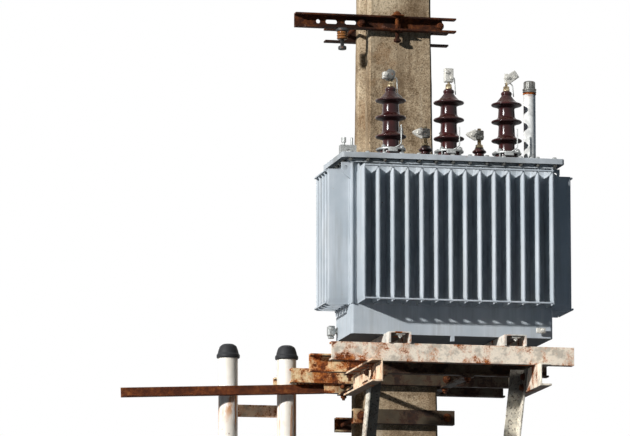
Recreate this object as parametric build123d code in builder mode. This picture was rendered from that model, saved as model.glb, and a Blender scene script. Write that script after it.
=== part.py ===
from build123d import *
from math import cos, pi, sin
import os

# A pole mounted distribution transformer: an H-section concrete pole, a steel
# platform clamped round it, and a corrugated tank with porcelain bushings.
# Millimetres. +Z is up, the origin is the centre of the pole at ground level,
# and the front of the tank faces -Y.

# Concrete pole
pole_height = 8300
pole_width_foot = 420
pole_width_top = 240
pole_depth_foot = 400
pole_depth_top = 250
pole_flange = 78
recess_slope = 26
recess_depth = 88
recess_start = 1300
recess_end_gap = 180

# Rolled channels: height, flange width, web thickness, flange thickness
channel_100 = (100, 50, 6, 8.5)
channel_80 = (80, 45, 6, 8)
channel_65 = (65, 42, 5.5, 7.5)
channel_root_radius = 4

# Platform
platform_z = 4230
beam_length = 1091
beam_mid_x = 22
front_beam_reach = 895
beam_spacing = 474
arm_mid_x = 40
arm_web_inset = 192.5
arm_overhang = 85
arm_tail = 8
clamp_rod_x = 200
clamp_rod_radius = 9
lower_rod_x = 216
rod_margin = 50
rod_stub = 30
seat_gap = 0.2
brace_set_back = 287
brace_drop = 1350
brace_angle = (63, 7)
lower_clamp_margin = 65
mid_clamp_drop = 145
mid_clamp_margin = 35
pole_tie = (50, 8)
pole_tie_x = 197

# Crossarm near the top of the pole
crossarm_z = 5793
crossarm_left = -500
crossarm_right = 255
crossarm_web_cut = 58
crossarm_rod_x = 185
crossarm_hole_x = -388
crossarm_hole_radius = 9.5
crossarm_slot_x = (-326, -236)
crossarm_slot_length = 54
rear_crossarm_left = -288
rear_crossarm_right = 300
rear_web_half = 210

# Insulator pin that is left in the crossarm
pin_x = -21
pin_radius = 10
pin_stub = 24
pin_drop = 57
pin_plate = 57
pin_plate_thickness = 5
pin_nut_radius = 15
pin_nut_height = 13

# Small surge arrester that hangs under the crossarm
arrester_x = -280
arrester_cap_radius = 29
arrester_cap_height = 16
arrester_radius = 25
arrester_height = 37
arrester_groove = 3
arrester_stem_radius = 9
arrester_stem_length = 30
disconnector_radius = 19
disconnector_height = 18

# Tank
tank_x = 42
tank_length = 912
tank_width = 320
tank_set_back = 95
tank_top_z = 810
tank_corner_radius = 14
boss_width = 16
boss_height = 24
corner_strip = (6, 16)
flange_overhang = 30
flange_thickness = 14
lid_overhang_x = 49
lid_overhang_y = 38
lid_thickness = 25
lid_edge_chamfer = 2.5
skid_gauge = 520
skid_reach = 104
lug_reach = 40
lug_height = 74
lug_thickness = 10
lug_hole_radius = 9

# Drain valve at the foot of the tank's left end
valve_body = (30, 40, 44)
valve_from_corner = 36
valve_z = 94
valve_neck_radius = 12
valve_neck_length = 14
valve_plug_radius = 14
valve_plug_height = 12

# Cooling fins
fin_pitch_long = 65.3
fin_depth_long = 130
fin_pitch_short = 58
fin_depth_short = 97
fin_end_margin = 20
fin_thickness = 16
fin_bottom_z = 182
fin_top_z = 783
fin_taper = 28
fin_sheet = 3
fin_gusset = (44, 22)
tie_rod_radius = 5
tie_rod_inset = 7

# High voltage bushings
mv_from_tank_end = 192
mv_y_from_lid_front = 92
mv_foot_radius = 50
mv_foot_height = 24
shed_radius = 69
body_radius = 35.5
shed_heights = (87, 172, 249)
shed_rim = 4
shed_rise = 22
mv_porcelain_height = 312
crown_radius = 24.5
crown_waist_radius = 21.5
crown_waist_drop = 22
ring_outer_radius = 66
ring_inner_radius = 44
ring_thickness = 8
ring_stud_radius = 5
ring_stud_circle = 58
ring_stud_height = 44
stud_radius = 6
stud_length = 60
terminal_nut_radius = 16
terminal_nut_height = 12
horn_radius = 3
lower_horn_side = 31
lower_horn_front = 72
lower_horn_top = 131
left_clamp_radius = 24
left_clamp_length = 48
middle_clamp = (40, 26, 62)
right_flag = (46, 8, 58)

# Low voltage bushings
lv_spacing = 123.5
lv_y_from_lid_back = 118
lv_porcelain_height = 84
lv_body_radius = 21
lv_shed_radius = 32
lv_stem_radius = 9
lv_stem_length = 88
lv_clamp = (36, 30, 42)
lv_clamp_rise = 36
lv_lug = (44, 8, 50)

# Filler pipe on the lid
filler_from_tank_end = 86
filler_radius = 27
filler_height = 300
collar_radius = 31
collar_height = 26
filler_cap_radius = 26
filler_cap_height = 60

# Arched bracket with two knobs at the left end of the lid
bracket_length = 72
bracket_width = 34
bracket_height = 34
bracket_arch_radius = 13
bracket_from_lid_front = 30
knob_radius = 11
knob_stem_radius = 6
knob_rise = 24

# Riser pipes beside the pole, and the bars that hold them
pipe_radius = 44
pipe_wall = 4
pipe_x = (-797, -527)
pipe_top_z = 4262
cap_overhang = 9
cap_lip_height = 16
cap_height = 66
cap_crown_radius = 26
pipe_bar_left = -1298
pipe_bar_droop = 2.4
pipe_bar_leg = 45
pipe_bar_thickness = 5
spacer_height = 56
spacer_thickness = 6
spacer_z = 4002
spacer_end = 20

lid_top_z = platform_z + tank_top_z + flange_thickness + lid_thickness
arm_web_spacing = beam_length - 2 * arm_web_inset
mv_spacing = tank_length / 2 - mv_from_tank_end


def pole_half_depth(z):
    """Half the depth of the tapered pole at height z."""
    return (pole_depth_foot + (pole_depth_top - pole_depth_foot) * z / pole_height) / 2


def pole_half_width(z):
    """Half the width of the tapered pole at height z."""
    return (pole_width_foot + (pole_width_top - pole_width_foot) * z / pole_height) / 2


def save(piece, name):
    """Label a finished piece and write it under its own name."""
    piece.part.label = name
    export_step(piece.part, f"parts/{name}.step")


def upright_plane(x, y, z):
    """Upright plane facing the front, with its origin on a vertical axis."""
    return Plane(origin=(x, y, z), x_dir=(1, 0, 0), z_dir=(0, -1, 0))


def channel_section(size):
    """Outline of a channel, web on the left, flanges to the right, centred in height."""
    height, flange, web, thickness = size
    with BuildSketch(Plane.XY) as section:
        with BuildLine():
            Polyline(
                (0, -height / 2),
                (flange, -height / 2),
                (flange, -height / 2 + thickness),
                (web, -height / 2 + thickness),
                (web, height / 2 - thickness),
                (flange, height / 2 - thickness),
                (flange, height / 2),
                (0, height / 2),
                close=True,
            )
        make_face()
        inner = section.vertices().filter_by_position(Axis.X, web - 0.1, web + 0.1)
        fillet(inner, channel_root_radius)
    return section.sketch


def channel(size, start, along, flange_towards, length, holes=(), hole_radius=10):
    """A channel bar from a start point at the middle of its web's outer face.

    Holes are distances along the bar at which the web is drilled."""
    section = channel_section(size)
    web = size[2]
    drilled_face = Plane(origin=start, x_dir=along, z_dir=flange_towards)
    with BuildPart() as bar:
        with BuildSketch(Plane(origin=start, x_dir=flange_towards, z_dir=along)):
            add(section)
        extrude(amount=length)
        if holes:
            with BuildSketch(drilled_face):
                with Locations(*[(distance, 0) for distance in holes]):
                    Circle(hole_radius)
            extrude(amount=web, mode=Mode.SUBTRACT)
    return bar


os.makedirs("parts", exist_ok=True)

# Pole: a tapered rectangle with a sloped recess down both sides above the plain foot
with BuildPart() as pole:
    with BuildSketch(Plane.XY):
        Rectangle(pole_width_foot, pole_depth_foot)
    with BuildSketch(Plane.XY.offset(pole_height)):
        Rectangle(pole_width_top, pole_depth_top)
    loft()
    for side in (-1, 1):
        for z in (recess_start, pole_height - recess_end_gap):
            mouth = pole_half_depth(z) - pole_flange
            floor = mouth - recess_slope
            face = pole_half_width(z)
            with BuildSketch(Plane.XY.offset(z)):
                with BuildLine():
                    Polyline(
                        (side * (face + 1), -mouth),
                        (side * (face + 1), mouth),
                        (side * (face - recess_depth), floor),
                        (side * (face - recess_depth), -floor),
                        close=True,
                    )
                make_face()
        loft(mode=Mode.SUBTRACT)
save(pole, "pole")

# Platform beams across the front and behind the tank
front_beam_y = -pole_half_depth(platform_z) - front_beam_reach
beam_z = platform_z - channel_80[0] / 2
beam_x = beam_mid_x - beam_length / 2
beam_front = channel(channel_80, (beam_x, front_beam_y, beam_z), (1, 0, 0), (0, 1, 0), beam_length)
save(beam_front, "beam_front")
beam_rear = channel(
    channel_80,
    (beam_x, front_beam_y + beam_spacing, beam_z),
    (1, 0, 0),
    (0, -1, 0),
    beam_length,
)
save(beam_rear, "beam_rear")

# Two arms lie across under the beams and end just behind the rear one
arm_top = platform_z - channel_80[0]
arm_z = arm_top - channel_100[0] / 2
clamp_bottom_z = arm_top
clamp_face = pole_half_depth(clamp_bottom_z) + seat_gap
arm_front_y = front_beam_y - arm_overhang
arm_length = arm_overhang + beam_spacing + arm_tail
for side, name in ((-1, "arm_left"), (1, "arm_right")):
    arm = channel(
        channel_100,
        (arm_mid_x + side * arm_web_spacing / 2, arm_front_y, arm_z),
        (0, 1, 0),
        (side, 0, 0),
        arm_length,
    )
    save(arm, name)

# Clamp bars in front of and behind the pole, level with the beams
clamp_z = clamp_bottom_z + channel_65[0] / 2
hole_radius = clamp_rod_radius + seat_gap
clamp_web_y = clamp_face + channel_65[1]
for side, name in ((-1, "clamp_front"), (1, "clamp_back")):
    clamp = channel(
        channel_65,
        (beam_x, side * clamp_web_y, clamp_z),
        (1, 0, 0),
        (0, -side, 0),
        beam_length,
        holes=(-clamp_rod_x - beam_x, clamp_rod_x - beam_x),
        hole_radius=hole_radius,
    )
    save(clamp, name)

# Flat ties beside the pole join the rear beam to both clamp bars from below
tie_front_y = front_beam_y + beam_spacing - channel_80[1]
tie_length = clamp_web_y - tie_front_y
with BuildPart() as pole_ties:
    with BuildSketch(Plane.XY.offset(clamp_bottom_z - seat_gap)):
        with Locations(*[(side * pole_tie_x, tie_front_y + tie_length / 2) for side in (-1, 1)]):
            Rectangle(pole_tie[0], tie_length)
    extrude(amount=-pole_tie[1])
save(pole_ties, "pole_ties")

# A second, short pair of clamp bars a little lower on the pole
mid_clamp_z = clamp_bottom_z - mid_clamp_drop
mid_face = pole_half_depth(mid_clamp_z - channel_65[0] / 2) + seat_gap
mid_web_y = mid_face + channel_65[1]
mid_half = clamp_rod_x + mid_clamp_margin
with BuildPart() as mid_clamp_bars:
    for side in (-1, 1):
        add(
            channel(
                channel_65,
                (-mid_half, side * mid_web_y, mid_clamp_z),
                (1, 0, 0),
                (0, -side, 0),
                2 * mid_half,
                holes=(mid_clamp_margin, mid_half + clamp_rod_x),
                hole_radius=hole_radius,
            ).part
        )
save(mid_clamp_bars, "mid_clamp_bars")

# Lower clamp, which takes the feet of the knee braces
lower_clamp_z = arm_z - brace_drop
lower_face = pole_half_depth(lower_clamp_z - channel_80[0] / 2) + seat_gap
lower_length = arm_web_spacing + 2 * lower_clamp_margin
lower_x = arm_mid_x - lower_length / 2
lower_clamp_front = channel(
    channel_80,
    (lower_x, -lower_face - channel_80[1], lower_clamp_z),
    (1, 0, 0),
    (0, 1, 0),
    lower_length,
    holes=(-lower_rod_x - lower_x, lower_rod_x - lower_x),
    hole_radius=hole_radius,
)
save(lower_clamp_front, "lower_clamp_front")
lower_back_half = lower_rod_x + rod_margin
lower_clamp_back = channel(
    channel_80,
    (-lower_back_half, lower_face + channel_80[1], lower_clamp_z),
    (1, 0, 0),
    (0, -1, 0),
    2 * lower_back_half,
    holes=(rod_margin, lower_back_half + lower_rod_x),
    hole_radius=hole_radius,
)
save(lower_clamp_back, "lower_clamp_back")

# Knee braces are angle bars that lean back down to the lower clamp. One leg lies
# flat against the arm's web, the other closes its back edge and faces the front.
brace_leg, brace_thickness = brace_angle
brace_top_y = arm_front_y + brace_set_back
brace_top_z = arm_top - seat_gap
brace_foot_y = -lower_face - channel_80[1] - seat_gap
brace_foot_z = lower_clamp_z + channel_80[0] / 2
brace_slope = (brace_top_z - brace_foot_z) / (brace_foot_y - brace_top_y)
brace_stretch = (1 + 1 / brace_slope**2) ** 0.5
for side, name in ((-1, "brace_left"), (1, "brace_right")):
    outer_x = arm_mid_x + side * (arm_web_spacing / 2 - seat_gap)
    with BuildPart() as brace:
        for depth, width in ((brace_leg, brace_thickness), (brace_thickness, brace_leg)):
            forward = depth * brace_stretch
            with BuildSketch(Plane(origin=(outer_x, 0, 0), x_dir=(0, 1, 0), z_dir=(1, 0, 0))):
                with BuildLine():
                    Polyline(
                        (brace_top_y, brace_top_z),
                        (brace_top_y - forward, brace_top_z),
                        (brace_foot_y, brace_foot_z - forward * brace_slope),
                        (brace_foot_y, brace_foot_z),
                        close=True,
                    )
                make_face()
            extrude(amount=-side * width)
    save(brace, name)

# Threaded rods that draw each pair of clamp bars together
for name, levels in (
    ("clamp_rods", ((clamp_z, clamp_web_y, clamp_rod_x), (mid_clamp_z, mid_web_y, clamp_rod_x))),
    ("lower_clamp_rods", ((lower_clamp_z, lower_face + channel_80[1], lower_rod_x),)),
):
    with BuildPart() as rods:
        for height, web_y, spread in levels:
            half_length = web_y + rod_stub
            for side in (-1, 1):
                with BuildSketch(Plane(origin=(side * spread, -half_length, height), z_dir=(0, 1, 0))):
                    Circle(clamp_rod_radius)
                extrude(amount=2 * half_length)
    save(rods, name)

# Crossarm: one channel each side of the pole. The front one is slotted, its web
# is cut short at the right, and the insulator pin stands in its flanges.
crossarm_mid_z = crossarm_z + channel_65[0] / 2
crossarm_face = pole_half_depth(crossarm_z) + seat_gap
pin_y = -crossarm_face - pin_plate / 2 - seat_gap
with BuildPart() as crossarm_front:
    add(
        channel(
            channel_65,
            (crossarm_left, -crossarm_face, crossarm_mid_z),
            (1, 0, 0),
            (0, -1, 0),
            crossarm_right - crossarm_left,
        ).part
    )
    with BuildSketch(upright_plane(0, -crossarm_face, crossarm_mid_z)):
        with Locations((crossarm_hole_x, 0)):
            Circle(crossarm_hole_radius)
        for x in crossarm_slot_x:
            with Locations((x, 0)):
                SlotOverall(crossarm_slot_length, 2 * crossarm_hole_radius)
        with Locations((crossarm_right, 0)):
            Rectangle(2 * crossarm_web_cut, channel_65[0] - 2 * channel_65[3])
        with Locations((-crossarm_rod_x, 0), (crossarm_rod_x, 0)):
            Circle(clamp_rod_radius + seat_gap)
    extrude(amount=channel_65[2] + channel_root_radius, mode=Mode.SUBTRACT)
    with BuildSketch(Plane.XY.offset(crossarm_z)):
        with Locations((pin_x, pin_y)):
            Circle(pin_radius + seat_gap)
    extrude(amount=channel_65[0], mode=Mode.SUBTRACT)
save(crossarm_front, "crossarm_front")

# The rear one keeps its web behind the pole only, and its flanges run on
with BuildPart() as crossarm_rear:
    add(
        channel(
            channel_65,
            (rear_crossarm_left, crossarm_face, crossarm_mid_z),
            (1, 0, 0),
            (0, 1, 0),
            rear_crossarm_right - rear_crossarm_left,
        ).part
    )
    with BuildSketch(upright_plane(0, crossarm_face, crossarm_mid_z)):
        with Locations((-crossarm_rod_x, 0), (crossarm_rod_x, 0)):
            Circle(clamp_rod_radius + seat_gap)
        for end, web_end in ((rear_crossarm_left, -rear_web_half), (rear_crossarm_right, rear_web_half)):
            with Locations(((end + web_end) / 2, 0)):
                Rectangle(abs(end - web_end), channel_65[0] - 2 * channel_65[3])
    extrude(amount=-channel_65[2] - channel_root_radius, mode=Mode.SUBTRACT)
save(crossarm_rear, "crossarm_rear")

crossarm_rod_half = crossarm_face + rod_stub
with BuildPart() as crossarm_rods:
    for side in (-1, 1):
        rod_end = (side * crossarm_rod_x, -crossarm_rod_half, crossarm_mid_z)
        with BuildSketch(Plane(origin=rod_end, z_dir=(0, 1, 0))):
            Circle(clamp_rod_radius)
        extrude(amount=2 * crossarm_rod_half)
save(crossarm_rods, "crossarm_rods")

# Insulator pin: a long bolt with a square plate outside each flange
pin_top_face = crossarm_z + channel_65[0] + seat_gap
pin_low_face = crossarm_z - seat_gap
with BuildPart() as insulator_pin:
    with BuildSketch(Plane.XY.offset(crossarm_z - pin_drop)):
        with Locations((pin_x, pin_y)):
            Circle(pin_radius)
    extrude(amount=channel_65[0] + pin_drop + pin_stub)
    for z in (pin_top_face, pin_low_face - pin_plate_thickness):
        with BuildSketch(Plane.XY.offset(z)):
            with Locations((pin_x, pin_y)):
                Rectangle(pin_plate, pin_plate)
        extrude(amount=pin_plate_thickness)
    for z in (pin_top_face + pin_plate_thickness, crossarm_z - pin_drop):
        with BuildSketch(Plane.XY.offset(z)):
            with Locations((pin_x, pin_y)):
                RegularPolygon(pin_nut_radius, 6)
        extrude(amount=pin_nut_height)
save(insulator_pin, "insulator_pin")

# Arrester: a glazed body of three stacked discs between a cap and a stem
arrester_top = pin_low_face - arrester_cap_height
arrester_foot = arrester_top - arrester_height
with BuildPart() as arrester_body:
    with BuildSketch(Plane.XY.offset(arrester_foot)):
        with Locations((arrester_x, pin_y)):
            Circle(arrester_radius - arrester_groove)
    extrude(amount=arrester_height)
    for index in range(3):
        disc_z = arrester_foot + index * (arrester_height + arrester_groove) / 3
        with BuildSketch(Plane.XY.offset(disc_z)):
            with Locations((arrester_x, pin_y)):
                Circle(arrester_radius)
        extrude(amount=(arrester_height - 2 * arrester_groove) / 3)
save(arrester_body, "arrester_body")

stem_foot = arrester_foot - arrester_stem_length
with BuildPart() as arrester_fittings:
    for radius, z, height in (
        (arrester_cap_radius, arrester_top, arrester_cap_height),
        (arrester_stem_radius, stem_foot, arrester_stem_length),
        (disconnector_radius, stem_foot - disconnector_height, disconnector_height),
    ):
        with BuildSketch(Plane.XY.offset(z)):
            with Locations((arrester_x, pin_y)):
                Circle(radius)
        extrude(amount=height)
save(arrester_fittings, "arrester_fittings")

# Skids: flat-laid channels, flanges down, across both beams
tank_y = front_beam_y + tank_set_back + tank_width / 2
skid_top_z = platform_z + channel_100[1]
skid_length = tank_width + 2 * skid_reach
for side, name in ((-1, "skid_left"), (1, "skid_right")):
    skid = channel(
        channel_100,
        (tank_x + side * skid_gauge / 2, tank_y - skid_length / 2, skid_top_z),
        (0, 1, 0),
        (0, 0, -1),
        skid_length,
    )
    save(skid, name)

# Tank box with a small boss under its front edge, and strips that stand proud at
# the long walls' ends beside the fins
tank_bottom_z = skid_top_z
flange_z = platform_z + tank_top_z
tank_front_y = tank_y - tank_width / 2
with BuildPart() as tank:
    with BuildSketch(Plane.XY.offset(tank_bottom_z)):
        with Locations((tank_x, tank_y)):
            RectangleRounded(tank_length, tank_width, tank_corner_radius)
    extrude(amount=flange_z - tank_bottom_z)
    with BuildSketch(Plane.XY.offset(tank_bottom_z - boss_height)):
        with Locations((tank_x, tank_front_y + boss_width / 2)):
            Rectangle(boss_width, boss_width)
    extrude(amount=boss_height)
    strip_thickness, strip_reach = corner_strip
    strip_width = tank_corner_radius + strip_reach
    for side in (-1, 1):
        for end in (-1, 1):
            strip_x = tank_x + side * (tank_length - strip_thickness) / 2
            strip_y = tank_y + end * (tank_width / 2 + strip_reach - strip_width / 2)
            with BuildSketch(Plane.XY.offset(platform_z + fin_bottom_z)):
                with Locations((strip_x, strip_y)):
                    Rectangle(strip_thickness, strip_width)
            extrude(amount=tank_top_z - fin_bottom_z)
save(tank, "tank")

with BuildPart() as tank_flange:
    with BuildSketch(Plane.XY.offset(flange_z)):
        with Locations((tank_x, tank_y)):
            Rectangle(tank_length + 2 * flange_overhang, tank_width + 2 * flange_overhang)
    extrude(amount=flange_thickness)
save(tank_flange, "tank_flange")

lid_length = tank_length + 2 * lid_overhang_x
lid_width = tank_width + 2 * lid_overhang_y
lid_front_y = tank_y - lid_width / 2
with BuildPart() as lid:
    with BuildSketch(Plane.XY.offset(lid_top_z - lid_thickness)):
        with Locations((tank_x, tank_y)):
            RectangleRounded(lid_length, lid_width, tank_corner_radius)
    extrude(amount=lid_thickness)
    chamfer(lid.faces().sort_by(Axis.Z)[-1].edges(), lid_edge_chamfer)
save(lid, "lid")


def fin_count(wall_length, pitch):
    """How many fins fit on a wall at a pitch, clear of its corners."""
    return int((wall_length - 2 * fin_end_margin) / pitch) + 1


def fin_bank(centre, outward, count, pitch, depth):
    """A corrugated wall: upright fins drawn in to a flat seam at both ends.

    Above each fin the seam runs up to the wall as a thin gusset."""
    low = platform_z + fin_bottom_z
    height = fin_top_z - fin_bottom_z
    gusset_reach, gusset_rise = fin_gusset
    across = Vector(0, 0, 1).cross(Vector(outward))
    face = Plane(origin=(centre[0], centre[1], low), x_dir=tuple(across), z_dir=outward)
    half = fin_thickness / 2
    seam = fin_sheet / 2
    with BuildSketch() as outline:
        with BuildLine():
            Polyline(
                (-seam, 0),
                (seam, 0),
                (half, fin_taper),
                (half, height - fin_taper),
                (seam, height),
                (-seam, height),
                (-half, height - fin_taper),
                (-half, fin_taper),
                close=True,
            )
        make_face()
    with BuildPart() as bank:
        with BuildSketch(face):
            with Locations((0, (height + gusset_rise) / 2)):
                Rectangle((count - 1) * pitch + 2 * fin_thickness, height + gusset_rise)
        extrude(amount=fin_sheet)
        with BuildSketch(face):
            with GridLocations(pitch, 0, count, 1):
                add(outline.sketch)
        extrude(amount=depth)
        for index in range(count):
            place = across * ((index - (count - 1) / 2) * pitch)
            origin = Vector(centre[0], centre[1], low + height) + place
            with BuildSketch(Plane(origin=origin, x_dir=outward, z_dir=tuple(across))):
                with BuildLine():
                    Polyline((0, 0), (gusset_reach, 0), (fin_sheet, gusset_rise), (0, gusset_rise), close=True)
                make_face()
            extrude(amount=seam, both=True)
    return bank


half_length = tank_length / 2
half_width = tank_width / 2
count_long = fin_count(tank_length, fin_pitch_long)
count_short = fin_count(tank_width, fin_pitch_short)
long_bank = (count_long, fin_pitch_long, fin_depth_long)
short_bank = (count_short, fin_pitch_short, fin_depth_short)
banks = (
    ("fins_front", (tank_x, tank_y - half_width), (0, -1, 0), long_bank),
    ("fins_rear", (tank_x, tank_y + half_width), (0, 1, 0), long_bank),
    ("fins_left", (tank_x - half_length, tank_y), (-1, 0, 0), short_bank),
    ("fins_right", (tank_x + half_length, tank_y), (1, 0, 0), short_bank),
)
for name, centre, outward, (count, pitch, depth) in banks:
    save(fin_bank(centre, outward, count, pitch, depth), name)

# Tie rods welded across the fins' outer edges at the top and the bottom
with BuildPart() as tie_rods:
    for name, centre, outward, (count, pitch, depth) in banks:
        across = Vector(0, 0, 1).cross(Vector(outward))
        run = (count - 1) * pitch + fin_sheet
        for z in (fin_bottom_z + tie_rod_inset, fin_top_z - tie_rod_inset):
            start = (
                Vector(centre[0], centre[1], platform_z + z)
                + Vector(outward) * (depth + tie_rod_radius + seat_gap)
                - across * (run / 2)
            )
            with BuildSketch(Plane(origin=start, z_dir=tuple(across))):
                RegularPolygon(tie_rod_radius, 10)
            extrude(amount=run)
save(tie_rods, "tie_rods")

# High voltage bushings: a glazed body with three sheds and a waisted crown
mv_y = lid_front_y + mv_y_from_lid_front
mv_names = ("mv_bushing_left", "mv_bushing_middle", "mv_bushing_right")
mv_x = [tank_x + step * mv_spacing for step in (-1, 0, 1)]
crown_waist_z = mv_porcelain_height - crown_waist_drop
shoulder_radius = ring_inner_radius - 1
for name, x in zip(mv_names, mv_x):
    with BuildPart() as bushing:
        with BuildSketch(upright_plane(x, mv_y, lid_top_z)):
            with BuildLine():
                Polyline(
                    (0, 0),
                    (mv_foot_radius, 0),
                    (mv_foot_radius, mv_foot_height),
                    (shoulder_radius, mv_foot_height),
                    (shoulder_radius, mv_foot_height + ring_thickness),
                    (body_radius, mv_foot_height + ring_thickness),
                    (body_radius, shed_heights[-1]),
                    (crown_waist_radius, crown_waist_z),
                    (crown_radius, crown_waist_z),
                    (crown_radius, mv_porcelain_height),
                    (0, mv_porcelain_height),
                    close=True,
                )
            make_face()
            for z in shed_heights:
                with BuildLine():
                    Polyline(
                        (0, z + shed_rise),
                        (body_radius, z + shed_rise),
                        (shed_radius, z + shed_rim / 2),
                        (shed_radius, z - shed_rim / 2),
                        (0, z - shed_rim / 2),
                        close=True,
                    )
                make_face()
        revolve(axis=Axis((x, mv_y, lid_top_z), (0, 0, 1)))
    save(bushing, name)

# Clamp rings on four studs hold the bushings' feet, each with an arcing horn
ring_z = lid_top_z + mv_foot_height + seat_gap
ring_top = ring_z + ring_thickness
with BuildPart() as mv_clamps:
    for x in mv_x:
        with BuildSketch(Plane.XY.offset(ring_z)):
            with Locations((x, mv_y)):
                Circle(ring_outer_radius)
                Circle(ring_inner_radius, mode=Mode.SUBTRACT)
        extrude(amount=ring_thickness)
        with BuildSketch(Plane.XY.offset(lid_top_z)):
            with Locations((x, mv_y)):
                with PolarLocations(ring_stud_circle, 4, start_angle=45):
                    RegularPolygon(ring_stud_radius, 6)
        extrude(amount=ring_stud_height)
        horn_x = x + lower_horn_side
        horn_y = mv_y - lower_horn_front
        with BuildLine() as horn_route:
            Polyline(
                (x, mv_y - ring_stud_circle, ring_top - horn_radius),
                (x + lower_horn_side / 3, horn_y, ring_top + horn_radius),
                (horn_x, horn_y, ring_top + 4 * horn_radius),
                (horn_x, horn_y, lid_top_z + lower_horn_top),
            )
        with BuildSketch(Plane(origin=horn_route.line @ 0, z_dir=horn_route.line % 0)):
            RegularPolygon(horn_radius, 6)
        sweep(path=horn_route.line, transition=Transition.RIGHT)
save(mv_clamps, "mv_clamps")

# Terminals of the high voltage bushings: nut and stud, then a different clamp on
# each, and an upper arcing horn that hangs down beside the crown
crown_z = lid_top_z + mv_porcelain_height
terminal_z = crown_z + stud_length / 2
horn_start_z = crown_z + stud_length * 0.75
upper_horns = (
    ((28, 40), (30, -30), (52, -47)),
    ((26, 54), (31, -24)),
    ((28, 30), (33, -24)),
)
with BuildPart() as mv_terminals:
    for x, horn in zip(mv_x, upper_horns):
        with BuildSketch(Plane.XY.offset(crown_z)):
            with Locations((x, mv_y)):
                RegularPolygon(terminal_nut_radius, 6)
        extrude(amount=terminal_nut_height)
        with BuildSketch(Plane.XY.offset(crown_z)):
            with Locations((x, mv_y)):
                Circle(stud_radius)
        extrude(amount=stud_length)
        route = [(x, mv_y, horn_start_z)]
        route += [(x + side, mv_y, crown_z + rise) for side, rise in horn]
        with BuildLine() as horn_route:
            Polyline(*route)
        with BuildSketch(Plane(origin=horn_route.line @ 0, z_dir=horn_route.line % 0)):
            RegularPolygon(horn_radius, 6)
        sweep(path=horn_route.line, transition=Transition.RIGHT)
    left_end = (mv_x[0] - left_clamp_length / 2 - stud_radius, mv_y, terminal_z + left_clamp_radius)
    with BuildSketch(Plane(origin=left_end, z_dir=(1, 0, 0))):
        Circle(left_clamp_radius)
    extrude(amount=left_clamp_length)
    with BuildSketch(Plane.XY.offset(terminal_z)):
        with Locations((mv_x[1], mv_y)):
            Rectangle(middle_clamp[0], middle_clamp[1])
    extrude(amount=middle_clamp[2])
    with BuildSketch(Plane.XY.offset(terminal_z)):
        with Locations((mv_x[2] + right_flag[0] / 3, mv_y)):
            Rectangle(right_flag[0], right_flag[1])
    extrude(amount=right_flag[2])
save(mv_terminals, "mv_terminals")

# Low voltage bushings in a row at the back of the lid
lv_y = tank_y + lid_width / 2 - lv_y_from_lid_back
lv_x = [tank_x + (step - 1.5) * lv_spacing for step in range(4)]
lv_places = [(x, lv_y) for x in lv_x]
lv_shed_pitch = lv_porcelain_height / 3
with BuildPart() as lv_bushings:
    with BuildSketch(Plane.XY.offset(lid_top_z)):
        with Locations(*lv_places):
            Circle(lv_body_radius)
    extrude(amount=lv_porcelain_height)
    for index in range(3):
        with BuildSketch(Plane.XY.offset(lid_top_z + index * lv_shed_pitch)):
            with Locations(*lv_places):
                Circle(lv_shed_radius)
        extrude(amount=lv_shed_pitch / 2)
save(lv_bushings, "lv_bushings")

# Each low voltage terminal is a stem with a nut, a clamp block and a flat lug
lv_top_z = lid_top_z + lv_porcelain_height
with BuildPart() as lv_terminals:
    for x in lv_x:
        with BuildSketch(Plane.XY.offset(lv_top_z)):
            with Locations((x, lv_y)):
                Circle(lv_stem_radius)
        extrude(amount=lv_stem_length)
        with BuildSketch(Plane.XY.offset(lv_top_z)):
            with Locations((x, lv_y)):
                RegularPolygon(terminal_nut_radius, 6)
        extrude(amount=terminal_nut_height)
        with BuildSketch(Plane.XY.offset(lv_top_z + lv_clamp_rise)):
            with Locations((x, lv_y)):
                Rectangle(lv_clamp[0], lv_clamp[1])
        extrude(amount=lv_clamp[2])
        lug_x = x - (lv_clamp[0] + lv_lug[0]) / 2
        with BuildSketch(upright_plane(lug_x, lv_y + lv_lug[1] / 2, lv_top_z + lv_clamp_rise)):
            with BuildLine():
                Polyline(
                    (lv_lug[0] / 2 + lv_stem_radius, 0),
                    (lv_lug[0] / 2 + lv_stem_radius, lv_lug[2]),
                    (0, lv_lug[2] * 0.9),
                    (-lv_lug[0] / 2, lv_lug[2] * 0.55),
                    (-lv_lug[0] / 2, lv_lug[2] * 0.35),
                    close=True,
                )
            make_face()
        extrude(amount=lv_lug[1])
save(lv_terminals, "lv_terminals")

# Filler pipe with its screwed cap
filler_x = tank_x + half_length - filler_from_tank_end
with BuildPart() as filler_pipe:
    with BuildSketch(Plane.XY.offset(lid_top_z)):
        with Locations((filler_x, mv_y)):
            Circle(filler_radius)
    extrude(amount=filler_height)
save(filler_pipe, "filler_pipe")
filler_top = lid_top_z + filler_height
with BuildPart() as filler_cap:
    for radius, height in ((collar_radius, collar_height), (filler_cap_radius, filler_cap_height)):
        with BuildSketch(Plane.XY.offset(filler_top)):
            with Locations((filler_x, mv_y)):
                Circle(radius)
        extrude(amount=height)
save(filler_cap, "filler_cap")

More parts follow.
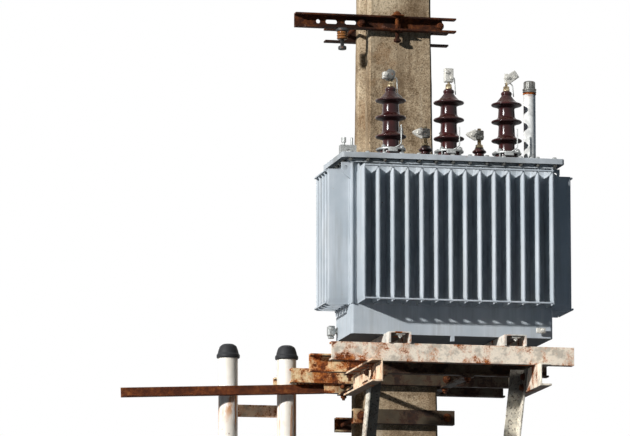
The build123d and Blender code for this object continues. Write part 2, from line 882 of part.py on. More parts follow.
# Arched bracket on the lid's left end, with a round knob and a plain stem on it
bracket_x = tank_x - lid_length / 2 + bracket_length / 2
bracket_y = lid_front_y + bracket_from_lid_front
with BuildPart() as lid_bracket:
    with BuildSketch(upright_plane(bracket_x, bracket_y, lid_top_z)):
        with Locations((0, bracket_height / 2)):
            Rectangle(bracket_length, bracket_height)
        with Locations((0, 0)):
            Circle(bracket_arch_radius, mode=Mode.SUBTRACT)
    extrude(amount=-bracket_width)
    knob_y = bracket_y + bracket_width / 2
    for side, radius, rise in (
        (-1, knob_stem_radius, knob_rise - knob_radius / 2),
        (1, knob_stem_radius, knob_rise + knob_radius),
    ):
        with BuildSketch(Plane.XY.offset(lid_top_z + bracket_height)):
            with Locations((bracket_x + side * bracket_length / 4, knob_y)):
                Circle(radius)
        extrude(amount=rise)
    with BuildSketch(Plane.XY.offset(lid_top_z + bracket_height + knob_rise - knob_radius)):
        with Locations((bracket_x - bracket_length / 4, knob_y)):
            RegularPolygon(knob_radius, 8)
    extrude(amount=2 * knob_radius)
save(lid_bracket, "lid_bracket")

# Lifting lugs under the lid's corners, welded to the tank's ends
with BuildPart() as lifting_lugs:
    for side in (-1, 1):
        wall_x = tank_x + side * half_length
        for end in (-1, 1):
            lug_y = tank_y + end * (half_width - tank_corner_radius - lug_thickness / 2)
            with BuildSketch(Plane.XZ.offset(-lug_y)):
                with BuildLine():
                    edge = Polyline(
                        (wall_x, flange_z - lug_height),
                        (wall_x, flange_z),
                        (wall_x + side * lug_reach, flange_z),
                        (wall_x + side * lug_reach, flange_z - lug_height / 3),
                    )
                    ThreePointArc(
                        edge @ 1,
                        (wall_x + side * lug_reach * 0.68, flange_z - lug_height * 0.68),
                        edge @ 0,
                    )
                make_face()
                with Locations((wall_x + side * lug_reach / 2, flange_z - lug_height / 3)):
                    Circle(lug_hole_radius, mode=Mode.SUBTRACT)
            extrude(amount=lug_thickness / 2, both=True)
save(lifting_lugs, "lifting_lugs")

# Drain valve on the tank's left end: a neck, a block and a plug below it
valve_length, valve_width, valve_height = valve_body
valve_y = tank_y + half_width - valve_from_corner
valve_mid_z = platform_z + valve_z
valve_wall_x = tank_x - half_length
valve_x = valve_wall_x - valve_neck_length - valve_length / 2
valve_low_z = valve_mid_z - valve_height / 2
with BuildPart() as drain_valve:
    with BuildSketch(Plane(origin=(valve_wall_x, valve_y, valve_mid_z), z_dir=(-1, 0, 0))):
        Circle(valve_neck_radius)
    extrude(amount=valve_neck_length)
    with BuildSketch(Plane.XY.offset(valve_low_z)):
        with Locations((valve_x, valve_y)):
            Rectangle(valve_length, valve_width)
    extrude(amount=valve_height)
    with BuildSketch(Plane.XY.offset(valve_low_z)):
        with Locations((valve_x, valve_y)):
            RegularPolygon(valve_plug_radius, 6)
    extrude(amount=-valve_plug_height)
save(drain_valve, "drain_valve")

# Riser pipes, which stand on the ground beside the pole, with soft domed caps
pipe_y = -clamp_face + pipe_radius + seat_gap
for index, x in enumerate(pipe_x):
    with BuildPart() as riser_pipe:
        with BuildSketch(Plane.XY):
            with Locations((x, pipe_y)):
                Circle(pipe_radius)
                Circle(pipe_radius - pipe_wall, mode=Mode.SUBTRACT)
        extrude(amount=pipe_top_z)
    save(riser_pipe, f"riser_pipe_{index + 1}")
    with BuildPart() as pipe_cap:
        with BuildSketch(upright_plane(x, pipe_y, pipe_top_z)):
            with BuildLine():
                Polyline(
                    (0, 0),
                    (pipe_radius + cap_overhang, 0),
                    (pipe_radius + cap_overhang, cap_lip_height),
                    (pipe_radius, cap_lip_height),
                    (cap_crown_radius, cap_height),
                    (0, cap_height),
                    close=True,
                )
            make_face()
        revolve(axis=Axis((x, pipe_y, pipe_top_z), (0, 0, 1)))
    save(pipe_cap, f"pipe_cap_{index + 1}")

# Rusty angle bar that runs out to the left, in front of the riser pipes, and droops
pipe_bar_top = clamp_bottom_z - seat_gap
droop = pipe_bar_droop * pi / 180
arm_tip_x = arm_mid_x - arm_web_spacing / 2 - channel_100[1]
pipe_bar_right = arm_tip_x - seat_gap - pipe_bar_leg * sin(droop)
bar_axis = Vector(-cos(droop), 0, -sin(droop))
with BuildPart() as pipe_bar:
    bar_end = Plane(
        origin=(pipe_bar_right, -clamp_face, pipe_bar_top),
        x_dir=(0, -1, 0),
        z_dir=tuple(bar_axis),
    )
    with BuildSketch(bar_end):
        with BuildLine():
            Polyline(
                (0, 0),
                (0, -pipe_bar_leg),
                (pipe_bar_leg, -pipe_bar_leg),
                (pipe_bar_leg, pipe_bar_thickness - pipe_bar_leg),
                (pipe_bar_thickness, pipe_bar_thickness - pipe_bar_leg),
                (pipe_bar_thickness, 0),
                close=True,
            )
        make_face()
    extrude(amount=(pipe_bar_right - pipe_bar_left) / cos(droop))
save(pipe_bar, "pipe_bar")

# Flat bar behind the riser pipes that keeps them apart
with BuildPart() as pipe_spacer:
    spacer_length = pipe_x[1] - pipe_x[0] + 2 * spacer_end
    with BuildSketch(Plane.XY.offset(spacer_z)):
        with Locations(((pipe_x[0] + pipe_x[1]) / 2, pipe_y + pipe_radius + seat_gap + spacer_thickness / 2)):
            Rectangle(spacer_length, spacer_thickness)
    extrude(amount=spacer_height)
save(pipe_spacer, "pipe_spacer")
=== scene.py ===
from math import cos, pi, radians, sin

import bmesh
import bpy
import numpy as np
from mathutils import Matrix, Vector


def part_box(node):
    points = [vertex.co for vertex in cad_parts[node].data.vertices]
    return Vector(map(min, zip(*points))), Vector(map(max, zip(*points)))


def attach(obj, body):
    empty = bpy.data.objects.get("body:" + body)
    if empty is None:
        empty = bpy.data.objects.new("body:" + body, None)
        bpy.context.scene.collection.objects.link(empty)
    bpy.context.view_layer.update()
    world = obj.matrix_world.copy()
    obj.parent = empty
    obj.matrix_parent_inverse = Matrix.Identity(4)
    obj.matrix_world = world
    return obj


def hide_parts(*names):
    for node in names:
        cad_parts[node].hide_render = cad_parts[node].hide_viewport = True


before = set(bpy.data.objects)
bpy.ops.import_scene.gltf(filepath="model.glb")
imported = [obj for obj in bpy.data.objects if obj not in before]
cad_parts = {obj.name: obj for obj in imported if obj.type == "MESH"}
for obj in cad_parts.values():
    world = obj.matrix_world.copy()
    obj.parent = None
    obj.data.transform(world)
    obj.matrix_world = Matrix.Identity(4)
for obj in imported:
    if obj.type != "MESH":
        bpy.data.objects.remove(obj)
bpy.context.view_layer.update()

# The dressed model of a pole mounted transformer. Shapes are worked out in
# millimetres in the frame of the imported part, and go into the meshes in metres.

MM = 0.001
ROOT = "root"
UP, DOWN, FRONT, BACK, RIGHT = (0, 0, 1), (0, 0, -1), (0, -1, 0), (0, 1, 0), (1, 0, 0)


def corners(node):
    """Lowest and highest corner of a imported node, in millimetres."""
    low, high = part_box(node)
    return np.array(low) / MM, np.array(high) / MM


def middle(node):
    """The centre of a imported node's box, in millimetres."""
    low, high = corners(node)
    return (low + high) / 2


# Surfaces


def grid_faces(rows, columns, closed=False):
    """Quads of a grid of rings: each ring closes on itself, and the last row joins the first if closed."""
    r = np.arange(rows if closed else rows - 1)[:, None]
    c = np.arange(columns)[None, :]
    beside = (c + 1) % columns
    above = (r + 1) % rows
    quads = np.stack(
        [r * columns + c, r * columns + beside, above * columns + beside, above * columns + c], -1
    )
    return quads.reshape(-1, 4).tolist()


def rings_shape(rings, closed=False):
    """A closed shape from rings of points, (rows, columns, 3), with flat ends unless the rows close."""
    rows, columns = rings.shape[:2]
    faces = grid_faces(rows, columns, closed)
    if not closed:
        last = (rows - 1) * columns
        faces.append(list(range(columns))[::-1])
        faces.append(list(range(last, last + columns)))
    return rings.reshape(-1, 3), faces


def joined(*shapes):
    """Several shapes as one list of points and faces."""
    points, faces, start = [], [], 0
    for part_points, part_faces in shapes:
        points.append(part_points)
        faces += [[index + start for index in face] for face in part_faces]
        start += len(part_points)
    return np.concatenate(points), faces


def moved(shape, by):
    """A shape shifted by a vector."""
    return shape[0] + np.array(by, float), shape[1]


def turn_to(axis, upright):
    """The matrix whose columns are X, Y and Z of a frame with +Z along an axis.

    X is the upright vector crossed with Z, and Y is Z crossed with X."""
    z = np.array(axis, float)
    z /= np.linalg.norm(z)
    x = np.cross(upright, z)
    x /= np.linalg.norm(x)
    return np.stack([x, np.cross(z, x), z], 1)


def stood(shape, at, axis):
    """A shape made along +Z, turned so that +Z runs along an axis, with its origin at a point."""
    along_y = abs(axis[1]) > 0.9 * np.linalg.norm(axis)
    turn = turn_to(axis, RIGHT if along_y else BACK)
    return shape[0] @ turn.T + np.array(at, float), shape[1]


def rounded(route, cut, steps):
    """A route with each inner corner replaced by a quadratic arc that starts and ends a cut away.

    The arc is (1-t)^2 a + 2t(1-t) b + t^2 c, with b the corner itself."""
    p = np.array(route, float)
    cut = np.broadcast_to(np.array(cut, float), (len(p) - 2,))[:, None]
    back = p[:-2] - p[1:-1]
    on = p[2:] - p[1:-1]
    length_back = np.linalg.norm(back, axis=1)[:, None]
    length_on = np.linalg.norm(on, axis=1)[:, None]
    reach = np.minimum(cut, 0.48 * np.minimum(length_back, length_on))
    a = p[1:-1] + back / length_back * reach
    c = p[1:-1] + on / length_on * reach
    t = np.linspace(0, 1, steps + 1)[None, :, None]
    arcs = (1 - t) ** 2 * a[:, None] + 2 * t * (1 - t) * p[1:-1][:, None] + t**2 * c[:, None]
    return np.concatenate([p[:1], arcs.reshape(-1, p.shape[1]), p[-1:]])


def turned(profile, centre=(0, 0, 0), sides=40, closed=False):
    """A profile of (radius, height) pairs turned about an upright axis.

    x = r cos t, y = r sin t, z = height, for t once round."""
    profile = np.array(profile, float)
    t = np.linspace(0, 2 * pi, sides, endpoint=False)
    radius, height = profile[:, :1], np.repeat(profile[:, 1:], sides, axis=1)
    rings = np.stack([radius * np.cos(t), radius * np.sin(t), height], -1)
    return moved(rings_shape(rings, closed), centre)


def tube(route, radius, sides=10, side=UP):
    """A round rod along a route: rings of the radius, square to the route's tangent at each point.

    The rings' first direction is the tangent crossed with a fixed side vector."""
    route = np.array(route, float)
    tangent = np.gradient(route, axis=0)
    tangent /= np.linalg.norm(tangent, axis=1)[:, None]
    first = np.cross(np.array(side, float), tangent)
    first /= np.linalg.norm(first, axis=1)[:, None]
    second = np.cross(tangent, first)
    t = np.linspace(0, 2 * pi, sides, endpoint=False)[None, :, None]
    radius = np.broadcast_to(np.array(radius, float), (len(route),))[:, None, None]
    rings = route[:, None] + radius * (np.cos(t) * first[:, None] + np.sin(t) * second[:, None])
    return rings_shape(rings)


def hexagon(across, height):
    """A hexagon head whose top is drawn in to a circle.

    A corner stands half the width across the flats over cos 30 from the axis."""
    chamfer = 0.09
    points = 12
    t = np.linspace(0, 2 * pi, points, endpoint=False)
    flat = across / 2
    reach = np.where(np.arange(points) % 2 == 0, flat / cos(pi / 6), flat)
    radii = np.array([reach, reach, np.full(points, flat * (1 - chamfer))])
    levels = np.array([0, height * (1 - chamfer * 2), height])[:, None]
    rings = [radii * np.cos(t), radii * np.sin(t), np.repeat(levels, points, axis=1)]
    return rings_shape(np.stack(rings, -1))


def disc(radius, height):
    """A flat round washer or boss with its rim drawn in by a small chamfer."""
    chamfer = 0.6
    inner = radius - chamfer
    profile = [(inner, 0), (radius, chamfer), (radius, height - chamfer), (inner, height)]
    return turned(profile, sides=20)


def screw(radius, length, pitch=2.5, sides=16):
    """A threaded stud: its radius swings by a tenth once in each pitch, and its end is drawn in."""
    count = max(2, int(length / pitch))
    z = np.linspace(0, length - pitch / 2, 2 * count)
    wave = np.where(np.arange(2 * count) % 2 == 0, radius * 0.9, radius)
    profile = np.stack([wave, z], 1)
    end = [(radius * 0.7, length)]
    return turned(np.concatenate([profile, end]), sides=sides)


def bolt(at, axis, size, stub=0):
    """A hexagon head or nut on its washer, with a threaded stub above it where there is one.

    size is the width across the flats, the height of the head and the radius of the washer."""
    across, head, washer = size
    washer_height = 2.5
    shapes = [disc(washer, washer_height), moved(hexagon(across, head), (0, 0, washer_height))]
    if stub:
        shapes.append(moved(screw(across * 0.32, stub), (0, 0, washer_height + head - 1)))
    return stood(joined(*shapes), at, axis)


def block(size, centre, edge=1.5):
    """A block whose edges are drawn in: rounded rectangles of rings, smaller at both ends.

    A ring's point is a corner of the rectangle plus a quarter circle round it, in steps of 30 degrees."""
    half = np.array(size, float) / 2
    quarter = np.array([0, 30, 60, 90])
    angles = np.radians(np.concatenate([quarter + start for start in (0, 90, 180, 270)]))
    corner_x, corner_y = np.repeat([1, -1, -1, 1], 4), np.repeat([1, 1, -1, -1], 4)
    inset = np.array([edge, 0, 0, edge])[:, None]
    z = np.array([-half[2], -half[2] + edge, half[2] - edge, half[2]])[:, None]
    radius = edge * 1.2 - inset * 0.4
    x = corner_x * (half[0] - inset - radius) + radius * np.cos(angles)
    y = corner_y * (half[1] - inset - radius) + radius * np.sin(angles)
    return moved(rings_shape(np.stack([x, y, np.repeat(z, len(angles), axis=1)], -1)), centre)


def bead(start, end, radius, seed):
    """A weld bead: a thin rod whose radius swells and shrinks at every ripple along its run."""
    start, end = np.array(start, float), np.array(end, float)
    ripple = 7
    count = max(6, int(np.linalg.norm(end - start) / ripple))
    t = np.linspace(0, 1, count)[:, None]
    dice = np.random.default_rng(seed)
    swell = 1 + 0.16 * np.sin(np.arange(count) * 2.4) + 0.10 * dice.standard_normal(count)
    upright = np.abs(end - start).argmax() == 2
    route = start + (end - start) * t
    return tube(route, radius * np.clip(swell, 0.6, 1.4), sides=6, side=RIGHT if upright else UP)


def in_scene(name, data):
    """An object of the scene that holds a mesh, a lamp or a camera."""
    made = bpy.data.objects.new(name, data)
    bpy.context.scene.collection.objects.link(made)
    return made


def piece(name, shape, material, replaces=(), sharp=40):
    """One object of the model from points and faces, riding on the pole's body."""
    points, faces = shape
    mesh = bpy.data.meshes.new(name)
    mesh.from_pydata((points * MM).tolist(), [], faces)
    finished(name, mesh, material, replaces, sharp)


def finished(name, mesh, material, replaces, sharp):
    """A mesh as a piece: its finish, its soft and sharp edges, and what it stands for."""
    mesh.validate()
    mesh.shade_smooth()
    mesh.set_sharp_from_angle(angle=radians(sharp))
    mesh.materials.clear()
    mesh.materials.append(material)
    made = in_scene(name, mesh)
    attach(made, ROOT)
    if replaces:
        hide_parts(*replaces)
    return made


def softened(node, material, edge=1.2):
    """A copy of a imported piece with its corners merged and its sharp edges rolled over."""
    work = bmesh.new()
    work.from_mesh(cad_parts[node].data)
    bmesh.ops.remove_doubles(work, verts=work.verts, dist=0.00002)
    bmesh.ops.dissolve_limit(work, angle_limit=0.01, verts=work.verts, edges=work.edges)
    mesh = bpy.data.meshes.new(node + "_soft")
    work.to_mesh(mesh)
    work.free()
    made = finished(node + "_soft", mesh, material, (node,), sharp=30)
    rolled = made.modifiers.new("rolled_edges", "BEVEL")
    rolled.width = edge * MM
    rolled.segments = 2
    rolled.limit_method = "ANGLE"
    rolled.angle_limit = radians(35)
    rolled.harden_normals = True


# Finishes


def tone(red, green, blue):
    """A paint colour, given in screen values from 0 to 255, as linear light."""
    value = np.array([red, green, blue]) / 255
    linear = np.where(value <= 0.04045, value / 12.92, ((value + 0.055) / 1.055) ** 2.4)
    return tuple(float(x) for x in linear)


def darker(colour, share):
    """A colour taken down to a share of its light."""
    return tuple(channel * share for channel in colour)


class Value:
    """A shader socket that can be used in sums; each operator adds one Math node."""

    def __init__(self, tree, socket):
        self.tree = tree
        self.socket = socket

    def math(self, operation, *others):
        """A Math node on this value and others."""
        sockets = dict(enumerate((self, *others)))
        return self.tree.add("ShaderNodeMath", {"operation": operation}, sockets)

    def __add__(self, other):
        return self.math("ADD", other)

    def __mul__(self, other):
        return self.math("MULTIPLY", other)

    def __sub__(self, other):
        return self.math("SUBTRACT", other)

    def __rsub__(self, other):
        return self.tree.add("ShaderNodeMath", {"operation": "SUBTRACT"}, {0: other, 1: self})

    __radd__ = __add__
    __rmul__ = __mul__


class NodeSheet:
    """A node tree, with one method that adds any node."""

    def __init__(self, tree):
        self.nodes = tree.nodes
        self.links = tree.links

    def add(self, kind, settings=None, sockets=None, out=0):
        """Any node: its settings first, then the values or links of its sockets."""
        node = self.nodes.new(kind)
        for key, value in (settings or {}).items():
            if key == "stops":
                stops = node.color_ramp.elements
                while len(stops) < len(value):
                    stops.new(0.5)
                for stop, (position, colour) in zip(stops, value):
                    stop.position = position
                    stop.color = (*colour, 1)
            else:
                setattr(node, key, value)
        for key, value in (sockets or {}).items():
            target = node.inputs[key]
            if isinstance(value, Value):
                self.links.new(value.socket, target)
            elif target.type == "RGBA":
                target.default_value = (*value, 1)
            else:
                target.default_value = value
        return Value(self, node.outputs[out])

    def seen(self):
        """1 for rays from the camera and for mirrored and refracted rays, 0 for those that only light."""
        camera, glossy, through = [
            self.add("ShaderNodeLightPath", out=ray)
            for ray in ("Is Camera Ray", "Is Glossy Ray", "Is Transmission Ray")
        ]
        return camera.math("MAXIMUM", glossy).math("MAXIMUM", through)


class Finish(NodeSheet):
    """A material with one Principled shader, whose patterns read Object coordinates in metres."""

    def __init__(self, name, **constants):
        self.material = bpy.data.materials.new(name)
        self.material.use_nodes = True
        super().__init__(self.material.node_tree)
        self.shader = self.nodes["Principled BSDF"]
        for key, value in constants.items():
            self.shader.inputs[key.replace("_", " ")].default_value = value
        self.place = self.add("ShaderNodeTexCoord", out="Object")

    def noise(self, scale, detail=4.0, rough=0.55, stretch=(1, 1, 1), shift=0.0, warp=0.0):
        """Cloudy noise from 0 to 1 with scale cells to the metre, on stretched and shifted coordinates."""
        where = self.add(
            "ShaderNodeVectorMath",
            {"operation": "MULTIPLY_ADD"},
            {0: self.place, 1: stretch, 2: (shift, shift * 0.7, shift * 1.3)},
        )
        return self.add(
            "ShaderNodeTexNoise",
            {},
            {"Vector": where, "Scale": scale, "Detail": detail, "Roughness": rough, "Distortion": warp},
        )

    def cells(self, scale):
        """Distance to the nearest of scattered points, for pits and grains."""
        return self.add(
            "ShaderNodeTexVoronoi", {"feature": "F1"}, {"Vector": self.place, "Scale": scale}, "Distance"
        )

    def mask(self, value, low, high):
        """0 below low, 1 above high and smooth between; the other way round if low is above high."""
        return self.add(
            "ShaderNodeMapRange",
            {"interpolation_type": "SMOOTHSTEP"},
            {"Value": value, "From Min": low, "From Max": high},
        )

    def mix(self, under, over, amount):
        """One colour laid over another where amount is 1."""
        return self.add("ShaderNodeMix", {"data_type": "RGBA"}, {0: amount, 6: under, 7: over}, 2)

    def laid(self, base, *coats):
        """A base colour with coats laid over it in turn, each a colour and how much of it shows."""
        for colour, amount in coats:
            base = self.mix(base, colour, amount)
        return base

    def ramp(self, value, *stops):
        """A colour for each value, from stops of position and colour."""
        return self.add("ShaderNodeValToRGB", {"stops": stops}, {0: value})

    def axis(self, letter):
        """One Object coordinate, in metres."""
        return self.add("ShaderNodeSeparateXYZ", {}, {0: self.place}, letter)

    def facing_up(self):
        """1 on faces that look straight up, -1 on those that look down."""
        normal = self.add("ShaderNodeNewGeometry", {}, {}, "Normal")
        return self.add("ShaderNodeSeparateXYZ", {}, {0: normal}, "Z")

    def bump(self, height, distance):
        """A raised or sunk pattern as a normal; a height of 1 stands for the distance, in metres."""
        return self.add("ShaderNodeBump", {}, {"Strength": 1.0, "Distance": distance, "Height": height})

    def paint(self, **patterns):
        """Link what varies over the surface to the shader, and give back the material."""
        for key, value in patterns.items():
            self.links.new(value.socket, self.shader.inputs[key.replace("_", " ")])
        return self.material


rust_spot = tone(112, 62, 38)


def rust_colour(f, shift):
    """Rust in four browns: dark scale, red brown, orange and yellow bloom, mixed by fine noise."""
    fine = f.noise(55, 8, 0.65, shift=shift)
    broad = f.noise(9, 5, 0.6, shift=shift + 3)
    return f.ramp(
        fine * 0.6 + broad * 0.4,
        (0.38, tone(58, 32, 22)),
        (0.46, tone(106, 56, 32)),
        (0.54, tone(162, 88, 42)),
        (0.62, tone(206, 134, 72)),
    )


def painted_steel(name, paint, patches, low, high, dirt=0.5, shift=0.0, worn=(), shaded=(), specks=0.0):
    """Old paint on rolled steel: rust breaks through in patches, with orange stains round them.

    patches is the size of the patches in cells to the metre; low and high are the noise
    values between which paint gives way to rust. Each place in worn is an axis, where the
    wear starts and where it is full, and how much it adds to the noise. shaded gives, in the
    same way, the places that are painted dark brown as painted shade. Faces that look down
    are darkened to brown, partly as rust and partly as painted shade."""
    f = Finish(name, Specular_IOR_Level=0.15)
    broad = f.noise(patches, 7, 0.62, shift=shift, warp=0.4)
    runs = f.noise(patches * 2.2, 5, 0.6, stretch=(1, 1, 0.16), shift=shift + 5)
    grain = f.noise(160, 4, 0.6, shift=shift)
    broken = broad * 0.66 + grain * 0.22 + runs * 0.22
    for axis, start, full, amount in worn:
        broken = broken + f.mask(f.axis(axis), start, full) * amount
    rust = f.mask(broken, low, high)
    stain = f.mask(broken, low - 0.07, high)
    tint = f.noise(24, 5, 0.6, shift=shift + 9)
    speck = f.mask(f.noise(120, 3, 0.5, shift=shift + 7), 0.575, 0.61)
    # Painted shade and rust: faces that look down are darkened to brown.
    under = f.mask(f.facing_up(), -0.4, -0.9)
    colour = f.laid(
        paint,
        (darker(paint, 0.62), f.mask(tint, 0.44, 0.64)),
        (tone(208, 126, 62), stain * dirt),
        (tone(84, 66, 48), speck * (specks + stain * 0.3)),
        (tone(50, 33, 25), under * 0.92),
        (rust_colour(f, shift), rust),
    )
    # Painted shade: the places in shaded are taken towards near black.
    for axis, start, full, amount in shaded:
        colour = f.mix(colour, tone(38, 33, 30), f.mask(f.axis(axis), start, full) * amount)
    rough = rust * 0.30 + tint * 0.16 + under * 0.2 + 0.46
    height = rust * (grain * 0.9 - 0.75) + tint * 0.2
    return f.paint(Base_Color=colour, Roughness=rough, Normal=f.bump(height, 0.0012))


def rusty_steel(name, paint, low, high, shift, dark, even=0.0):
    """Rolled steel that has rusted all over, with a few flakes of its old paint.

    low and high are the noise values between which a flake of paint is left. dark is how far the
    rust has gone to a nearly black scale, and even is how far it has all gone to one red brown."""
    f = Finish(name, Specular_IOR_Level=0.12)
    broad = f.noise(14, 8, 0.66, shift=shift, warp=0.6)
    grain = f.noise(190, 5, 0.65, shift=shift)
    pits = f.mask(f.cells(260), 0.42, 0.12)
    left = f.mask(broad * 0.8 + grain * 0.2, low, high)
    scale = f.mask(f.noise(6, 5, 0.6, shift=shift + 2), 0.38, 0.62)
    colour = f.laid(
        rust_colour(f, shift),
        (tone(42, 26, 20), scale * 0.4 + dark),
        (tone(92, 50, 32), even),
        (paint, left),
    )
    rough = 0.88 - left * 0.28 - grain * 0.1
    height = grain * 0.7 - pits * 0.6 + left * 0.35
    return f.paint(Base_Color=colour, Roughness=rough, Normal=f.bump(height, 0.0012))


def tank_paint_finish():
    """Satin blue grey paint with a faint cloudiness, rain marks, grime under the lid and rust specks."""
    f = Finish("tank_grey_paint", Specular_IOR_Level=0.16)
    lid_under = corners("lid")[0][2] * MM
    cloud = f.noise(4, 6, 0.55)
    rain = f.noise(38, 5, 0.6, stretch=(1, 1, 0.07))
    fine = f.noise(420, 3, 0.5)
    chips = f.noise(46, 9, 0.72, shift=4.0)
    near_lid = f.mask(f.axis("Z"), lid_under - 0.064, lid_under + 0.006)
    grime = near_lid * f.mask(cloud + rain * 0.3, 0.5, 0.8)
    rust = f.mask(chips, 0.685, 0.715)
    # Faces that look down are darkened: partly grime and partly painted shade.
    under = f.mask(f.facing_up(), -0.6, -0.95)
    colour = f.laid(
        tone(192, 198, 203),
        (tone(174, 182, 188), f.mask(cloud, 0.40, 0.62)),
        (tone(208, 211, 211), f.mask(rain, 0.55, 0.78) * 0.45),
        (tone(146, 149, 147), f.mask(rain * 0.6 + cloud * 0.4, 0.54, 0.36) * 0.4),
        (tone(118, 112, 100), grime * 0.5),
        (tone(176, 140, 108), f.mask(chips, 0.64, 0.70) * 0.45),
        (rust_spot, rust),
        (tone(74, 78, 80), under * 0.85),
    )
    rough = 0.44 + rain * 0.14 + rust * 0.35 + grime * 0.15 + under * 0.4
    height = fine * 0.25 + cloud * 0.3 - rust * 0.6
    return f.paint(Base_Color=colour, Roughness=rough, Normal=f.bump(height, 0.0004))


def concrete_finish():
    """Cast concrete: cement skin over sand, air holes, rain streaks, smudges and a splashed foot."""
    f = Finish("pole_concrete", Specular_IOR_Level=0.12)
    cloud = f.noise(2.6, 7, 0.62, warp=0.5)
    streak = f.noise(15, 6, 0.6, stretch=(1, 1, 0.05), shift=2)
    sand = f.noise(190, 6, 0.7)
    grit = f.noise(52, 8, 0.72, shift=6)
    holes = f.mask(f.cells(70), 0.20, 0.06)
    large_holes = f.mask(f.cells(19), 0.10, 0.035)
    skin = f.ramp(
        cloud * 0.45 + sand * 0.35 + grit * 0.2,
        (0.43, tone(98, 80, 60)),
        (0.48, tone(150, 129, 102)),
        (0.53, tone(184, 163, 134)),
        (0.58, tone(214, 195, 164)),
    )
    splash = f.mask(f.axis("Z"), 0.75, 0.05)
    colour = f.laid(
        skin,
        (tone(104, 82, 58), f.mask(streak, 0.50, 0.66) * 0.55),
        (tone(214, 204, 184), f.mask(streak, 0.44, 0.32) * 0.35),
        (tone(80, 64, 46), f.mask(grit, 0.55, 0.66) * 0.6),
        (tone(150, 108, 66), f.mask(f.noise(7, 6, 0.6, shift=9), 0.58, 0.68) * 0.28),
        (tone(92, 74, 56), f.mask(f.noise(5.5, 7, 0.66, shift=12, warp=0.8), 0.52, 0.62) * 0.42),
        (tone(94, 76, 56), f.mask(f.noise(85, 4, 0.6, shift=15), 0.53, 0.62) * 0.5),
        (tone(58, 48, 38), holes * 0.5 + large_holes * 0.5),
        (tone(88, 80, 66), splash * (cloud * 0.5 + 0.35)),
    )
    rough = 0.86 + sand * 0.1
    height = sand * 0.35 + grit * 0.55 + cloud * 0.3 - holes * 0.7 - large_holes
    return f.paint(Base_Color=colour, Roughness=rough, Normal=f.bump(height, 0.0030))


def glaze_finish(name, body, thin, orange=0.0):
    """Glossy glaze that runs a little thinner and redder in places, with dust on what faces up."""
    f = Finish(name, Specular_IOR_Level=0.24)
    cloud = f.noise(14, 2, 0.5)
    dust = f.noise(60, 5, 0.6, shift=3)
    lies = f.mask(f.facing_up(), 0.25, 0.95) * f.mask(dust, 0.38, 0.72)
    # Painted shade: faces that look down, under the sheds, are darkened.
    under = f.mask(f.facing_up(), -0.2, -0.7)
    colour = f.laid(
        body,
        (thin, f.mask(cloud, 0.42, 0.70) * (0.55 + orange)),
        (tone(128, 112, 98), lies * 0.3),
        (darker(body, 0.4), under),
    )
    rough = 0.18 + lies * 0.30 + cloud * 0.04 + under * 0.3
    return f.paint(Base_Color=colour, Roughness=rough, Normal=f.bump(cloud, 0.00002))


def zinc_finish(name, dull, bright, rust_from=0.66, metal=0.85):
    """Hot dipped zinc gone dull: grey flakes, paler blotches and a little rust at the worst spots."""
    f = Finish(name, Specular_IOR_Level=0.5)
    flake = f.cells(240)
    cloud = f.noise(32, 6, 0.6)
    rust = f.mask(f.noise(70, 6, 0.66, shift=5), rust_from, rust_from + 0.05)
    blotched = f.mix(dull, bright, f.mask(flake * 0.5 + cloud * 0.6, 0.30, 0.66))
    colour = f.mix(blotched, tone(124, 74, 44), rust * 0.9)
    rough = 0.44 + cloud * 0.18 + rust * 0.2
    bare = (1 - rust) * metal
    bump = f.bump(flake + cloud, 0.0004)
    return f.paint(Base_Color=colour, Metallic=bare, Roughness=rough, Normal=bump)


def brass_finish():
    """Brass dulled to brown, with green blotches."""
    f = Finish("tarnished_brass", Specular_IOR_Level=0.5)
    cloud = f.noise(60, 6, 0.62)
    colour = f.ramp(
        cloud,
        (0.36, tone(86, 72, 56)),
        (0.48, tone(150, 132, 102)),
        (0.62, tone(200, 186, 156)),
    )
    green = f.mask(f.noise(44, 5, 0.6, shift=7), 0.60, 0.72)
    colour = f.mix(colour, tone(96, 118, 96), green * 0.5)
    rough = 0.34 + cloud * 0.22
    metal = 0.9 - green * 0.7
    return f.paint(Base_Color=colour, Metallic=metal, Roughness=rough, Normal=f.bump(cloud, 0.0004))


def pipe_finish():
    """Cream paint on the riser pipes: rain marks, rust runs under the bar and mud at the foot."""
    f = Finish("riser_cream_paint", Specular_IOR_Level=0.4)
    z = f.axis("Z")
    bar_under, bar_top = (corner[2] * MM for corner in corners("pipe_bar"))
    cloud = f.noise(5, 6, 0.6)
    rain = f.noise(42, 6, 0.62, stretch=(1, 1, 0.06))
    chips = f.noise(36, 9, 0.72, shift=2)
    behind_bar = f.mask(z, bar_top + 0.010, bar_top - 0.050)
    below_bar = f.mask(z, bar_under - 0.766, bar_under - 0.046) * behind_bar
    runs = f.mask(rain + below_bar * 0.17, 0.68, 0.78) * below_bar
    stain = f.mask(z, bar_under - 0.126, bar_under - 0.026) * behind_bar
    stain = stain * f.mask(f.noise(16, 6, 0.6, stretch=(1, 1, 0.35), shift=8), 0.47, 0.57)
    rust = f.mask(chips + below_bar * 0.05, 0.665, 0.70)
    mud = f.mask(z + cloud * 0.3, 0.62, 0.14)
    colour = f.laid(
        tone(246, 241, 232),
        (tone(226, 218, 204), f.mask(cloud, 0.40, 0.64)),
        (tone(160, 148, 130), f.mask(rain, 0.54, 0.70) * 0.5),
        (tone(186, 120, 64), runs * 0.9),
        (tone(182, 120, 56), stain * 0.9),
        (rust_spot, rust),
        (tone(122, 106, 84), mud * 0.75),
    )
    rough = 0.46 + rain * 0.16 + rust * 0.3 + mud * 0.25
    height = cloud * 0.3 - rust * 0.7 + f.noise(380, 3) * 0.2
    return f.paint(Base_Color=colour, Roughness=rough, Normal=f.bump(height, 0.0006))


